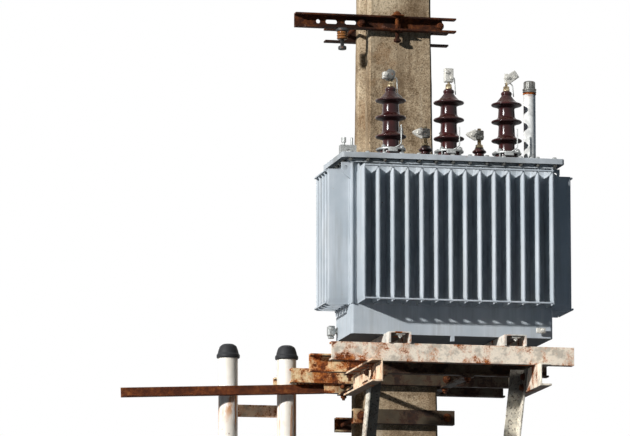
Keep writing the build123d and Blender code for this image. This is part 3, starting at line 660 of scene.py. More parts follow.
def rubber_finish():
    """Matt black rubber with pale chalking on what faces up."""
    f = Finish("black_rubber", Specular_IOR_Level=0.3)
    cloud = f.noise(34, 6, 0.6)
    chalk = f.mask(f.facing_up(), 0.1, 0.9) * f.mask(cloud, 0.36, 0.7)
    colour = f.mix(tone(26, 27, 29), tone(66, 67, 70), chalk * 0.7 + cloud * 0.2)
    rough = 0.52 + cloud * 0.2 + chalk * 0.15
    bump = f.bump(f.noise(300, 4) + cloud, 0.0005)
    return f.paint(Base_Color=colour, Roughness=rough, Normal=bump)


tank_paint = tank_paint_finish()
concrete = concrete_finish()
brown_glaze = glaze_finish("bushing_brown_glaze", tone(48, 17, 18), tone(78, 28, 26))
orange_glaze = glaze_finish("arrester_orange_glaze", tone(134, 84, 38), tone(164, 110, 54), orange=0.2)
zinc = zinc_finish("dull_zinc", tone(116, 118, 116), tone(172, 174, 172))
alloy = zinc_finish("cast_alloy", tone(140, 140, 136), tone(206, 203, 194), rust_from=0.70, metal=0.45)
# Darker zinc, weathered, and also standing as painted shade on parts that sit in shade.
dark_zinc = zinc_finish("weathered_zinc_and_shade", tone(62, 62, 60), tone(120, 120, 116), rust_from=0.60)
# Near black zinc for the arrester's fittings, partly their own dark metal and partly painted shade.
shaded_black_zinc = zinc_finish("blackened_and_shaded_zinc", tone(30, 31, 34), tone(58, 57, 56), rust_from=0.62, metal=0.5)
brass = brass_finish()
riser_paint = pipe_finish()
rubber = rubber_finish()

beam_low, beam_high = corners("beam_front")
beam_end, beam_under, beam_top = beam_low[0] * MM, beam_low[2] * MM, beam_high[2] * MM
pole_side = -corners("pole")[1][0] * MM
beam_paint = painted_steel(
    "beam_white_paint",
    tone(250, 235, 214),
    patches=13.0,
    low=0.605,
    high=0.655,
    dirt=0.75,
    shift=2.0,
    worn=(
        ("X", beam_end + 0.16, beam_end, 0.015),
        ("Z", beam_under + 0.026, beam_under, 0.045),
        ("Z", beam_top - 0.018, beam_top, 0.03),
    ),
    specks=0.12,
)
skid_paint = painted_steel(
    "skid_cream_paint", tone(224, 219, 208), patches=12.0, low=0.60, high=0.65, dirt=0.6, shift=31.0
)
arm_paint = painted_steel(
    "arm_pinkish_paint", tone(244, 217, 186), patches=9.0, low=0.58, high=0.62, shift=11.0
)
arm_cream = painted_steel(
    "arm_cream_paint", tone(244, 232, 212), patches=9.0, low=0.60, high=0.65, shift=51.0
)
filler_paint = painted_steel(
    "filler_white_paint", tone(232, 232, 228), patches=9.0, low=0.66, high=0.72, dirt=0.3, shift=41.0
)
# Cream clamp paint, with painted shade on the bars beyond the pole's left side, where the tank shades them.
clamp_paint = painted_steel(
    "clamp_cream_paint",
    tone(242, 216, 170),
    patches=11.0,
    low=0.55,
    high=0.59,
    dirt=0.85,
    shift=5.0,
    shaded=(("X", pole_side - 0.07, pole_side + 0.05, 0.94),),
)
brace_coat = {"paint": tone(232, 224, 206), "patches": 4.0, "low": 0.63, "high": 0.68, "specks": 0.75}
# Painted shade: the braces' tops under the beams, and the left brace's front flange, which its outer flange
# shades.
painted_shade_top = ("Z", beam_under - 0.12, beam_under - 0.08, 0.85)
brace_inner = corners("brace_left")[0][0] * MM + 0.007
painted_shade_flange = ("X", brace_inner, brace_inner + 0.004, 0.8)
brace_paint = painted_steel("brace_cream_paint", shift=21.0, shaded=(painted_shade_top,), **brace_coat)
brace_shaded = painted_steel("brace_shaded_paint", shift=61.0, shaded=(painted_shade_top, painted_shade_flange), **brace_coat)
bar_rust = rusty_steel(
    "bar_red_rust", tone(120, 80, 56), low=0.64, high=0.72, shift=15.0, dark=0.38, even=0.42
)
# The crossarm's rust is taken nearly black, partly its own scale and partly painted shade on its web.
crossarm_rust_and_shade = rusty_steel(
    "crossarm_dark_rust_and_shade", tone(132, 92, 76), low=0.59, high=0.65, shift=25.0, dark=0.74
)
hardware_rust = rusty_steel("hardware_rust", tone(120, 92, 74), low=0.62, high=0.70, shift=35.0, dark=0.55)
collar_rust = rusty_steel("collar_orange_rust", tone(120, 92, 74), low=0.66, high=0.72, shift=45.0, dark=0.0)

# Pole

pole_height = corners("pole")[1][2]
foot_half = corners("pole")[1][:2]
top_half = np.array([120.0, 125.0])


def pole_half(z):
    """Half the pole's width and depth at heights z, by straight taper."""
    share = (np.asarray(z, float) / pole_height)[..., None]
    return foot_half + (top_half - foot_half) * share


def pole_shape():
    """The tapered pole with its side recesses.

    A quarter of an outline is a row of corners measured in from the half width and half depth:
    the recess floor, its sloping side, the flange's inner edge and its chamfered corner. The
    other quarters mirror it. Up the pole the half sizes shrink by the taper, and the recess
    starts and ends in a step. Casting waviness of about a millimetre is a sum of sines."""
    flange, slope, recess, chamfer = 78, 26, 88, 9
    recess_low, recess_high = 1300, pole_height - 180
    lip, inside, first_level, step = 6, 14, 60, 45.0
    levels = np.unique(
        np.concatenate(
            [
                [0, lip],
                np.arange(first_level, pole_height - 5, step),
                recess_low + np.array([-0.5, 0.5, inside]),
                recess_high + np.array([-inside, -0.5, 0.5]),
                [pole_height - lip, pole_height],
            ]
        )
    )
    half = pole_half(levels)
    depth = recess * ((levels > recess_low) & (levels < recess_high))
    half_x, half_y = half.T
    middle_line = np.zeros_like(half_x)
    mouth = half_y - flange
    floor = mouth - slope
    inner = half_x - depth
    edge = half_x - chamfer * 0.4 * (depth > 0)
    quarter = [(inner, middle_line), (inner, floor * 0.5), (inner, floor)]
    quarter += [(edge, mouth - chamfer * 0.2), (half_x, mouth + chamfer * 0.6)]
    quarter += [(half_x, half_y - chamfer), (half_x - chamfer, half_y)]
    quarter += [(half_x * 0.5, half_y), (middle_line, half_y)]
    right_back = np.transpose(quarter, (2, 0, 1))
    left_back = right_back[:, -2::-1] * (-1, 1)
    left_front = right_back[:, 1:] * (-1, -1)
    right_front = right_back[:, -2:0:-1] * (1, -1)
    ring = np.concatenate([right_back, left_back, left_front, right_front], 1)
    z = np.repeat(levels[:, None], ring.shape[1], axis=1)
    drawn = np.where((z < 1) | (z > pole_height - 1), 0.985, 1.0)
    c = np.arange(ring.shape[1])[None, :]
    wave = 0.7 * np.sin(z / 61 + c * 1.7) + 0.5 * np.sin(z / 23 + c * 2.9)
    length = np.linalg.norm(ring, axis=2, keepdims=True)
    ring = ring * drawn[..., None] - ring / length * (1.2 + wave)[..., None]
    return rings_shape(np.concatenate([ring, z[..., None]], -1))


piece("pole_cast", pole_shape(), concrete, ("pole",), sharp=22)

# Steelwork

for node, material in (
    ("beam_front", beam_paint),
    ("beam_rear", clamp_paint),
    ("arm_left", arm_paint),
    ("arm_right", arm_cream),
    ("clamp_front", clamp_paint),
    ("clamp_back", clamp_paint),
    ("mid_clamp_bars", clamp_paint),
    ("pole_ties", clamp_paint),
    ("lower_clamp_front", brace_paint),
    ("lower_clamp_back", brace_paint),
    ("brace_left", brace_shaded),
    ("brace_right", brace_paint),
    ("crossarm_front", crossarm_rust_and_shade),
    ("crossarm_rear", crossarm_rust_and_shade),
    ("pipe_bar", bar_rust),
    ("pipe_spacer", arm_paint),
    ("skid_left", skid_paint),
    ("skid_right", skid_paint),
):
    softened(node, material)
for node, edge in (("tank", 1.5), ("lid", 1.2), ("lifting_lugs", 1.5)):
    softened(node, tank_paint, edge)


def rod_piece(node, pairs):
    """The rods of one node, threaded and along Y, with a washer and a nut on each web's far side.

    Each pair gives two webs' outer faces and a height."""
    low, high = corners(node)
    radius, stub, pitch = 9.0, 30.0, 3.0
    nut = (28, 14, 20)
    shapes = []
    for front, back, z in pairs:
        thread = screw(radius, back - front + 2 * stub, pitch, sides=14)
        for x in (low[0] + radius, high[0] - radius):
            shapes.append(stood(thread, (x, front - stub, z), BACK))
            shapes.append(bolt((x, front, z), FRONT, nut))
            shapes.append(bolt((x, back, z), BACK, nut))
    piece(node + "_threaded", joined(*shapes), hardware_rust, (node,))


def bar_pair(front_node, back_node, inset=0.0):
    """Outer faces of two bars and their middle height; the inset goes from a flange's edge to the web."""
    return corners(front_node)[0][1] + inset, corners(back_node)[1][1] - inset, middle(front_node)[2]


rod_piece(
    "clamp_rods",
    (bar_pair("clamp_front", "clamp_back"), bar_pair("mid_clamp_bars", "mid_clamp_bars")),
)
rod_piece("lower_clamp_rods", (bar_pair("lower_clamp_front", "lower_clamp_back"),))
crossarm_web = 5.5
crossarm_flange = 42.0
rod_piece(
    "crossarm_rods",
    (bar_pair("crossarm_front", "crossarm_rear", crossarm_flange - crossarm_web),),
)

# Tank

tank_low, tank_high = corners("tank")
flange_low, flange_high = corners("tank_flange")
lid_low, lid_high = corners("lid")
lid_top = lid_high[2]
seam_rise, seam_reach = 22, 44
sheet_margin, sheet_thick = 16, 3
long_bank = {"count": 14, "pitch": 65.3, "depth": 130}
short_bank = {"count": 5, "pitch": 58.0, "depth": 97}


def fin(depth, low, high, taper=28, half=8.0, seam=1.6):
    """One hollow pressed fin, made outward along +X from a wall at X = 0.

    Its outline at a height is a slot of half thickness h with a half-round nose; h grows from
    the flat welded seam to full thickness over the taper in a straight line."""
    flat = 4
    rise = np.concatenate([[0, 3], np.linspace(7, taper, 5)])
    z = np.concatenate([low + rise, high - rise[::-1]])
    share = np.clip((np.concatenate([rise, rise[::-1]]) - flat) / (taper - flat), 0, 1)
    h = (seam + (half - seam) * share)[:, None]
    nose = np.radians(np.linspace(-90, 90, 7))[None, :]
    wall, belly = np.zeros_like(h), np.full_like(h, depth * 0.5)
    x = np.concatenate([wall, belly, depth - h + h * np.cos(nose), belly, wall], 1)
    y = np.concatenate([-h, -h, h * np.sin(nose), h, h], 1)
    return rings_shape(np.stack([x, y, np.repeat(z[:, None], x.shape[1], axis=1)], -1))


def gusset(reach, rise, high, half=1.6):
    """The thin seam above a fin: a three-cornered sheet that runs up to the wall."""
    outline = np.array([(0, high), (reach, high), (6, high + rise), (0, high + rise)], float)
    rings = [np.stack([outline[:, 0], np.full(4, y), outline[:, 1]], -1) for y in (half, -half)]
    return rings_shape(np.array(rings))


def fin_wall(node, outward, count, pitch, depth):
    """A bank of fins on its backing sheet, with a weld bead along the sheet's edges.

    The fins are made for a wall at X = 0, then turned to look outward and set on the bank's wall."""
    low, high = corners(node)
    out = np.array(outward, float)
    base = (low + high) / 2 * (1, 1, 0)
    axis = int(np.abs(out).argmax())
    base[axis] = high[axis] if out[axis] < 0 else low[axis]
    side = np.cross(UP, out)
    turn = np.stack([out, side, UP], 1)
    fin_top = high[2] - seam_rise
    one = joined(fin(depth, low[2], fin_top), gusset(seam_reach, seam_rise, fin_top))
    shapes = []
    for step in np.arange(count) - (count - 1) / 2:
        shapes.append((one[0] @ turn.T + base + side * step * pitch, one[1]))
    half = (count - 1) * pitch / 2 + sheet_margin
    edges = [(-half, low[2]), (half, low[2]), (half, high[2]), (-half, high[2])]
    rings = np.array([[(t, s, z) for s, z in edges] for t in (0, sheet_thick)], float)
    sheet, sheet_faces = rings_shape(rings)
    shapes.append((sheet @ turn.T + base, sheet_faces))
    for s in (-half, half):
        start, end = (turn @ np.array([2.0, s, z]) + base for z in (low[2], high[2]))
        shapes.append(bead(start, end, 3.0, seed=int(abs(s))))
    for z in (low[2], high[2]):
        start, end = (turn @ np.array([1.5, s, z]) + base for s in (-half, half))
        shapes.append(bead(start, end, 2.6, seed=int(z) % 97))
    return joined(*shapes)


def tie_rods_shape():
    """Round rods across the fins' outer edges, with a weld where each long rod crosses a fin."""
    low, high = corners("tie_rods")
    proud, radius, lift = 5.2, 4.8, 5
    long_half, short_half = 426, 117
    mid_x, mid_y = middle("tank")[:2]
    count, pitch = long_bank["count"], long_bank["pitch"]
    shapes = []
    for z in (low[2] + lift, high[2] - lift):
        for y in (corners("fins_front")[0][1] - proud, corners("fins_rear")[1][1] + proud):
            shapes.append(tube([(mid_x - long_half, y, z), (mid_x + long_half, y, z)], radius))
            for step in np.arange(count) - (count - 1) / 2:
                x = mid_x + step * pitch
                weld = bead((x, y - 1, z - 6), (x, y - 1, z + 6), 2.6, seed=int(step * 2 + 20))
                shapes.append(weld)
        for x in (corners("fins_left")[0][0] - proud, corners("fins_right")[1][0] + proud):
            shapes.append(tube([(x, mid_y - short_half, z), (x, mid_y + short_half, z)], radius))
    return joined(*shapes)


for node, outward, bank in (
    ("fins_front", FRONT, long_bank),
    ("fins_rear", BACK, long_bank),
    ("fins_left", (-1, 0, 0), short_bank),
    ("fins_right", RIGHT, short_bank),
):
    shape = fin_wall(node, outward, **bank)
    piece(node + "_pressed", shape, tank_paint, (node,), sharp=50)
piece("fin_tie_rods", tie_rods_shape(), tank_paint, ("tie_rods",))

# Weld beads round the tank's top, and the flange, drawn back so that it lies in the lid's shade
weld_z = flange_low[2] - 1
ends = tank_low, tank_high
box = [(ends[x][0], ends[y][1], weld_z) for x, y in ((0, 0), (1, 0), (1, 1), (0, 1))]
beads = [bead(box[index], box[(index + 1) % 4], 3.0, seed=index + 3) for index in range(4)]
piece("tank_weld_beads", joined(*beads), tank_paint)
drawn_back = 18
flange_size = flange_high - flange_low - (2 * drawn_back, 2 * drawn_back, 0)
flange = block(flange_size, middle("tank_flange"), 2.0)
piece("flange_neck", flange, tank_paint, ("tank_flange",))

# Bolts through the lid's rim: low heads on top, and nuts under it
row_start, row_inset, end_inset = 42, 17, 28
row_x = np.linspace(lid_low[0] + row_start, lid_high[0] - row_start, 13)
row_y = lid_low[1] + row_inset, lid_high[1] - row_inset
end_x = lid_low[0] + end_inset, lid_high[0] - end_inset
rim = [(x, y) for x in row_x for y in row_y]
rim += [(x, y) for y in np.linspace(*row_y, 6)[1:-1] for x in end_x]
rim_head, rim_nut = (17, 5, 11), (17, 7, 10)
heads = [bolt((x, y, lid_top), UP, rim_head) for x, y in rim]
nuts = [bolt((x, y, lid_low[2]), DOWN, rim_nut, stub=5) for x, y in rim]
piece("lid_rim_bolts", joined(*heads), zinc)
# The nuts are in the darker zinc, partly as painted shade under the lid's rim.
piece("lid_rim_nuts", joined(*nuts), dark_zinc)

# High voltage bushings

mv_sides = ("left", "middle", "right")
mv_x = [middle(f"mv_bushing_{side}")[0] for side in mv_sides]
mv_y = middle("mv_bushing_left")[1]
crown = 312.0
mv_top = lid_top + crown


def shed_profile(points, steps):
    """A half outline from (radius, height, cut) points, with each corner rounded by its own cut."""
    table = np.array(points, float)
    return rounded(table[:, :2], table[1:-1, 2], steps)


def bushing_profile():
    """Half outline of a bushing from its foot: three drooping sheds on a plain body, and a waisted crown."""
    points = [(46, 0, 2), (50, 3, 3), (50, 24, 3), (43, 25, 2), (37, 33, 6)]
    for shed in (87, 172, 249):
        points += [
            (35.5, shed - 16, 5),
            (52, shed - 7.5, 6),
            (66, shed - 5, 2.5),
            (69, shed, 3),
            (66, shed + 4.5, 3),
            (48, shed + 10, 10),
            (38, shed + 20, 9),
        ]
    points += [(33, 275, 8), (21.5, 290, 5), (24.5, 296, 3), (24.5, 303, 3), (19, 309, 3)]
    points += [(13, crown, 2), (3, crown, 0)]
    return shed_profile(points, 4)


bushing = turned(bushing_profile(), sides=56)
for name, x in zip(mv_sides, mv_x):
    glazed = moved(bushing, (x, mv_y, lid_top))
    piece(f"bushing_{name}_glazed", glazed, brown_glaze, (f"mv_bushing_{name}",), sharp=60)

# Clamp rings on studs at the bushings' feet, with a rod gap between a lower and an upper horn
ring_stud, ring_bolt, foot_bolt = screw(5, 46), (17, 8, 11), (17, 6, 12)
ring_bottom, ring_thick, bolt_circle = 24.2, 8, 58
horn_radius, horn_foot = 2.8, (41, 14, 14)
clamps, clamp_bolts, lower_horns = [], [], []
ring = rounded([(45, 0), (65, 0), (66, ring_thick), (46, ring_thick), (45, 0.4)], 1.5, 2)
horn = np.array([(2, -59, 29), (12, -68, 33), (31, -71, 46), (31, -71, 131)], float)
for x in mv_x:
    foot = np.array((x, mv_y, lid_top))
    clamps.append(turned(ring, foot + (0, 0, ring_bottom), closed=True))
    for angle in np.radians((45, 135, 225, 315)):
        at = foot + (bolt_circle * cos(angle), bolt_circle * sin(angle), 0)
        clamp_bolts.append(moved(ring_stud, at))
        clamp_bolts.append(bolt(at + (0, 0, ring_bottom + ring_thick), UP, ring_bolt))
        clamp_bolts.append(bolt(at, UP, foot_bolt))
    clamps.append(block(horn_foot, foot + (-5, -60, 19)))
    lower_horns.append(tube(rounded(horn + foot, 9, 5), horn_radius, side=BACK))
piece("bushing_clamp_rings", joined(*clamps), zinc, ("mv_clamps",))
piece("bushing_clamp_bolts", joined(*clamp_bolts), zinc)
piece("lower_arcing_horns", joined(*lower_horns), zinc)

crown_stud, crown_nut, lock_nut = screw(6, 60), (26, 10, 15), hexagon(24, 8)
crowns = [np.array((x, mv_y, mv_top)) for x in mv_x]
studs = []
for at in crowns:
    studs += [moved(crown_stud, at), bolt(at, UP, crown_nut), moved(lock_nut, at + (0, 0, 13))]
piece("bushing_studs", joined(*studs), brass, ("mv_terminals",))

horn_routes = (
    ((0, 0, 45), (28, 0, 40), (30, 0, -30), (52, 0, -47)),
    ((0, 0, 50), (26, 0, 54), (31, 0, -24)),
    ((0, 0, 45), (28, 0, 30), (33, 0, -24)),
)
upper_horns = [
    tube(rounded(np.array(route) + at, 10, 5), horn_radius, side=BACK)
    for at, route in zip(crowns, horn_routes)
]
piece("upper_arcing_horns", joined(*upper_horns), zinc)

# The terminal clamps, each of its own kind: a barrel with a jaw, two plates, and a leaning flag
left_crown, middle_crown, right_crown = crowns
small_bolt = (13, 6, 8)
barrel = rounded([(6, 0), (22, 0), (27, 6), (27, 26), (22, 36), (8, 38)], 5, 4)
left_clamp = stood(turned(barrel, sides=32), left_crown + (-20, 0, 56), (1, 0, -0.25))
piece("left_lead_clamp", left_clamp, dark_zinc)
left_jaw = joined(
    block((20, 34, 30), left_crown + (-27, -3, 50), 3.0),
    bolt(left_crown + (-28, -20, 52), FRONT, ring_bolt),
)
piece("left_lead_jaw", left_jaw, alloy)
plate = (40, 12, 62)
middle_clamp = joined(
    block(plate, middle_crown + (0, -7, 61), 2.5),
    block(plate, middle_crown + (0, 7, 61), 2.5),
    bolt(middle_crown + (-11, -13, 74), FRONT, small_bolt),
    bolt(middle_crown + (11, -13, 48), FRONT, small_bolt),
)
piece("middle_lead_clamp", middle_clamp, alloy)
flag = joined(
    block((38, 64, 9), (0, 0, 0), 2.5),
    bolt((-9, -16, 4.5), UP, small_bolt),
    bolt((9, 14, 4.5), UP, small_bolt),
)
lean = radians(-35)
sway = np.array([[cos(lean), 0, sin(lean)], [0, 1, 0], [-sin(lean), 0, cos(lean)]])
upright_points, flag_faces = stood(flag, (0, 0, 0), FRONT)
leaning = moved((upright_points @ sway.T, flag_faces), right_crown + (22, -4, 62))
right_clamp = joined(leaning, block((16, 10, 46), right_crown + (0, 0, 56), 2.0))
piece("right_lead_clamp", right_clamp, alloy)

# Low voltage bushings

lv_low, lv_high = corners("lv_bushings")
lv_radius, lv_y, lv_top = 32, middle("lv_bushings")[1], lv_high[2]
lv_points = [(20, 0, 1)]
for base in (0, 28, 56):
    lv_points += [(21, base + 1, 2), (31, base + 6, 3), (lv_radius, base + 12, 3), (22, base + 20, 4)]
lv_points += [(20, 82, 2), (14, 84, 1), (3, 84, 0)]
lv_profile = shed_profile(lv_points, 3)
lug_outline = np.array([(-64, 58), (-58, 66), (-22, 82), (-18, 78), (-18, 34), (-24, 32), (-56, 50)])
lug_layers = ((0.03, -16), (0, -14), (0, -6), (0.03, -4))
lug_rings = [np.insert(lug_outline * (1 - draw), 1, y, axis=1) for draw, y in lug_layers]
lug = rings_shape(np.array(lug_rings)[::-1])
stem, jaw = screw(9, 88), block((36, 13, 42), (0, 0, 0), 2.5)
stem_nut, jaw_bolt, lug_bolt = (30, 12, 19), (13, 7, 8), (17, 7, 11)
lv_shapes, lv_stems, lv_blocks, lv_lugs = [], [], [], []
for x in np.linspace(lv_low[0] + lv_radius, lv_high[0] - lv_radius, 4):
    at = np.array((x, lv_y, lv_top))
    lv_shapes.append(turned(lv_profile, (x, lv_y, lid_top)))
    lv_stems += [moved(stem, at), bolt(at, UP, stem_nut)]
    lv_blocks += [moved(jaw, at + (0, -8, 57)), moved(jaw, at + (0, 8, 57))]
    lv_blocks += [bolt(at + (-10, -14, 66), FRONT, jaw_bolt), bolt(at + (10, -14, 48), FRONT, jaw_bolt)]
    lv_lugs += [moved(lug, at), bolt(at + (-34, -16, 58), FRONT, lug_bolt)]
piece("low_voltage_glaze", joined(*lv_shapes), brown_glaze, ("lv_bushings",), sharp=60)
piece("low_voltage_stems", joined(*lv_stems), brass, ("lv_terminals",))
# The jaws are in the darker zinc, partly as painted shade.
piece("low_voltage_clamps", joined(*lv_blocks), dark_zinc)
piece("low_voltage_lugs", joined(*lv_lugs), alloy)

# Filler pipe and lid bracket

filler_radius, filler_height = 27, 300
filler_foot = np.array((*middle("filler_pipe")[:2], lid_top))
filler_head = filler_foot + (0, 0, filler_height)
filler_weld = rounded([(filler_radius, 0), (34, 0), (30, 6), (filler_radius, 9)], 1.5, 3)
filler = joined(
    turned([(filler_radius, 0), (filler_radius, filler_height)], filler_foot),
    turned(filler_weld, filler_foot),
)
piece("filler_tube", filler, filler_paint, ("filler_pipe",))
ring_profile = rounded([(26, 0), (29.5, 1), (30, 7), (26, 8.5)], 1.2, 2)
filler_ring = turned(ring_profile, filler_head - (0, 0, 2))
piece("filler_ring", filler_ring, collar_rust)
collar_profile = [(26, 7), (30.5, 9), (31, 13), (28.5, 15), (28.5, 17), (31, 19), (31, 25), (26, 26)]
collar = turned(rounded(collar_profile, 1.0, 2), filler_head)
piece("filler_collar", collar, dark_zinc)


def ribbed_cap(radius=25, ribs=12, depth=0.9, sides=48):
    """A cap with upright ribs: the radius goes out and in by the ribs' depth as the sign of sin(ribs t)."""
    t = np.linspace(0, 2 * pi, sides, endpoint=False)
    levels = np.array([26, 28, 54, 58, 60.0])
    inset = np.array([2.0, 0, 0, 2.0, 6.0])
    ribbed = radius - inset[:, None] + depth * np.sign(np.sin(t * ribs))[None, :]
    height = np.repeat(levels[:, None], sides, axis=1)
    return rings_shape(np.stack([ribbed * np.cos(t), ribbed * np.sin(t), height], -1))


cap = moved(ribbed_cap(), filler_head)
piece("filler_cap_ribbed", cap, dark_zinc, ("filler_cap",))
softened("lid_bracket", zinc, 1.5)

# Crossarm fittings

pin_low, pin_high = corners("insulator_pin")
pin_x, pin_y = middle("insulator_pin")[:2]
crossarm_low, crossarm_high = corners("crossarm_front")
washer_plate, half_plate, pin_nut = (57, 57, 5), 2.8, hexagon(30, 14)
pin = joined(
    moved(screw(10, pin_high[2] - pin_low[2], 3.0), (pin_x, pin_y, pin_low[2])),
    block(washer_plate, (pin_x, pin_y, crossarm_high[2] + half_plate), 1.2),
    block(washer_plate, (pin_x, pin_y, crossarm_low[2] - half_plate), 1.2),
    moved(pin_nut, (pin_x, pin_y, crossarm_high[2] + 5.3)),
    moved(pin_nut, (pin_x, pin_y, pin_low[2] + 4)),
)
piece("insulator_pin_bolt", pin, hardware_rust, ("insulator_pin",))

body_low, body_high = corners("arrester_body")
fittings_low = corners("arrester_fittings")[0]
arrester_x, arrester_y = middle("arrester_body")[:2]
ridges = [(20, 0)]
for base in (1.0, 13.0, 25.0):
    ridges += [(22, base), (25, base + 3), (25, base + 8), (22, base + 11)]
ridges += [(20, 37)]
arrester = turned(rounded(ridges, 1.8, 3), (arrester_x, arrester_y, body_low[2]))
piece("arrester_ridged", arrester, orange_glaze, ("arrester_body",), sharp=60)
top_ring = rounded([(26, 0), (29, 3), (29, 13), (24, 16)], 1.5, 3)
end_ring = rounded([(14, 0), (19, 2), (19, 15), (15, 18)], 1.5, 3)
tail = 30
fittings = joined(
    turned(top_ring, (arrester_x, arrester_y, body_high[2]), 32),
    moved(screw(9, tail), (arrester_x, arrester_y, body_low[2] - tail)),
    turned(end_ring, (arrester_x, arrester_y, fittings_low[2]), 32),
)
piece("arrester_metal", fittings, shaded_black_zinc, ("arrester_fittings",))

# Riser pipes

riser_bore, riser_radius = 40, 44
dome = rounded(
    [(44, 0), (52, 0), (53, 6), (53, 15), (48, 20), (45, 34), (38, 54), (24, 64), (8, 66), (2, 66)], 5, 4
)
for index in (1, 2):
    x, y = middle(f"riser_pipe_{index}")[:2]
    top = corners(f"riser_pipe_{index}")[1][2]
    outer, inner = [(riser_radius, 0), (riser_radius, top)], [(riser_bore, top), (riser_bore, 1)]
    wall = rounded([(riser_bore, 0), *outer, *inner], 1.0, 2)
    riser = turned(wall, (x, y, 0), 48, closed=True)
    piece(f"riser_tube_{index}", riser, riser_paint, (f"riser_pipe_{index}",))
    cap = turned(dome, (x, y, top), 48)
    piece(f"riser_cap_{index}", cap, rubber, (f"pipe_cap_{index}",), sharp=60)

# Bolts on the platform

frame_bolt = (24, 12, 18)
bar_bolt = (22, 11, 16)
flange_thick, beam_web, brace_slope = 8.5, 8, 0.467
rear_y = corners("beam_rear")[0][1]
clamp_low, clamp_high = corners("clamp_front")
tie_low, tie_high = corners("pole_ties")
foot = corners("lower_clamp_front")[0]
platform = []
for side, arm, brace in ((-1, "arm_left", "brace_left"), (1, "arm_right", "brace_right")):
    arm_low, arm_high = corners(arm)
    web = arm_high[0] if side < 0 else arm_low[0]
    for y in (beam_low[1] + 30, rear_y + 20):
        x = web + side * 30
        platform.append(bolt((x, y, arm_high[2] - flange_thick), DOWN, frame_bolt, stub=16))
        platform.append(bolt((x, y, beam_low[2] + beam_web), UP, frame_bolt))
    for drop in (78, 32):
        y = corners(brace)[0][1] + drop * brace_slope + 32
        z = arm_high[2] - drop
        platform.append(bolt((web - side * 7, y, z), (-side, 0, 0), frame_bolt))
        platform.append(bolt((web + side * 6, y, z), (side, 0, 0), frame_bolt, stub=8))
    platform.append(bolt((web - side * 38, foot[1] - 16, foot[2] + 44), (0, -1, 0.43), frame_bolt))
for x in (clamp_low[0] + 38.5, clamp_low[0] + 188.5, clamp_high[0] - 127.5, clamp_high[0] - 37.5):
    platform.append(bolt((x, clamp_low[1] + 36, clamp_low[2] + 26), FRONT, bar_bolt))
for x in (tie_low[0] + 25, tie_high[0] - 25):
    for y in (tie_low[1] + 24, clamp_low[1] + 26, tie_high[1] - 26):
        platform.append(bolt((x, y, tie_low[2]), DOWN, frame_bolt, stub=10))
piece("platform_bolts", joined(*platform), hardware_rust)

# Clips that hold the skids, and the earthing lug at the skirt's right end
clip_bolt, clip_plate, lug_plate = (17, 8, 12), (40, 30, 5), (42, 8, 24)
clips = []
for node in ("skid_left", "skid_right"):
    clip_x, clip_y = middle(node)[0] + 4, corners(node)[0][1] + 22
    under_web = corners(node)[1][2] - 8
    clips.append(bolt((clip_x, clip_y, under_web - 4), DOWN, clip_bolt, stub=6))
    clips.append(block(clip_plate, (clip_x, clip_y, under_web - 2.5), 1.2))
lug_x, lug_z = tank_high[0] - 61, tank_low[2] + 56
clips.append(block(lug_plate, (lug_x, tank_low[1] - 4, lug_z), 2.0))
clips.append(bolt((lug_x + 8, tank_low[1] - 8, lug_z), FRONT, ring_bolt, stub=8))
piece("skid_clips", joined(*clips), alloy)

# Drain valve

valve_low, valve_high = corners("drain_valve")
valve_y = middle("drain_valve")[1]
body, plug = (30, 40, 44), (13, 5, 8)
valve_x, valve_z = valve_low[0] + body[0] / 2, valve_high[2] - body[2] / 2
valve = joined(
    block(body, (valve_x, valve_y, valve_z), 3.0),
    stood(turned([(12, 0), (12, 14)], sides=24), (valve_high[0] - 14, valve_y, valve_z), RIGHT),
    stood(disc(17, 4), (valve_high[0] - 4.5, valve_y, valve_z), RIGHT),
    moved(hexagon(24, 11), (valve_x, valve_y, valve_low[2] + 0.6)),
    bolt((valve_x, valve_low[1], valve_z + 10), FRONT, plug),
)
piece("drain_valve_block", valve, zinc, ("drain_valve",))

# Camera, light and floor


def placed(name, data, turn, at):
    """An object of the studio, with the columns of a turn as its axes, at a place in metres."""
    made = in_scene(name, data)
    made.matrix_world = Matrix([[*row, part] for row, part in zip(turn, at)] + [[0, 0, 0, 1]])
    return made


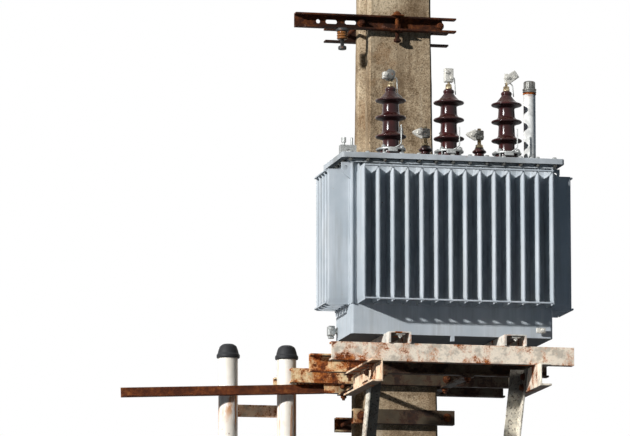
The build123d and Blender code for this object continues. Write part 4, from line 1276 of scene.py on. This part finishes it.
def lamp(name, strength, width, towards):
    """A broad far lamp: parallel light that goes in a direction, spread over a width in degrees."""
    data = bpy.data.lights.new(name, "SUN")
    data.energy = strength
    data.angle = radians(width)
    return placed(name, data, turn_to(-np.array(towards, float), UP), (0, 0, 0))


camera_data = bpy.data.cameras.new("photo_camera")
camera_data.lens = 271.14
camera_data.sensor_width = 36
azimuth, lift = radians(-12.1), radians(8.8)
ahead = np.array([-sin(azimuth) * cos(lift), cos(azimuth) * cos(lift), sin(lift)])
camera_at = (-4.881, -21.042, 1.6045)
camera = placed("photo_camera", camera_data, turn_to(-ahead, UP), camera_at)
bpy.context.scene.camera = camera

lamp("key_lamp", strength=4.7, width=2.2, towards=(228, 138, -85))
back_lamp = lamp("back_lamp", strength=1.8, width=30.0, towards=(-160, -235, -120))
back_lamp.visible_glossy = False

world = bpy.data.worlds.new("studio")
bpy.context.scene.world = world
world.use_nodes = True
studio = NodeSheet(world.node_tree)
studio.nodes.remove(studio.nodes["Background"])
lighting = studio.add("ShaderNodeBackground", {}, {"Color": (0.45, 0.74, 1.0), "Strength": 0.065})
white = studio.add("ShaderNodeBackground", {}, {"Color": (1, 1, 1), "Strength": 1.0})
blend = studio.add("ShaderNodeMixShader", {}, {0: studio.seen(), 1: lighting, 2: white})
studio.links.new(blend.socket, studio.nodes["World Output"].inputs["Surface"])

floor_finish = Finish("pale_floor", Roughness=0.9, Emission_Strength=1.0)
seen_floor = floor_finish.mix((0.80, 0.80, 0.79), (0.83, 0.83, 0.82), floor_finish.noise(0.8, 3))
pale = floor_finish.seen()
floor_material = floor_finish.paint(
    Base_Color=floor_finish.mix((0.035, 0.055, 0.085), seen_floor, pale),
    Emission_Color=floor_finish.mix((0.0, 0.0, 0.0), (0.22, 0.22, 0.22), pale),
)
floor_mesh = bpy.data.meshes.new("floor")
reach = 60.0
floor_corners = [(-reach, -reach, 0), (reach, -reach, 0), (reach, reach, 0), (-reach, reach, 0)]
floor_mesh.from_pydata(floor_corners, [], [(0, 1, 2, 3)])
floor_mesh.materials.append(floor_material)
floor = in_scene("floor", floor_mesh)

bpy.context.scene.view_settings.view_transform = "Standard"
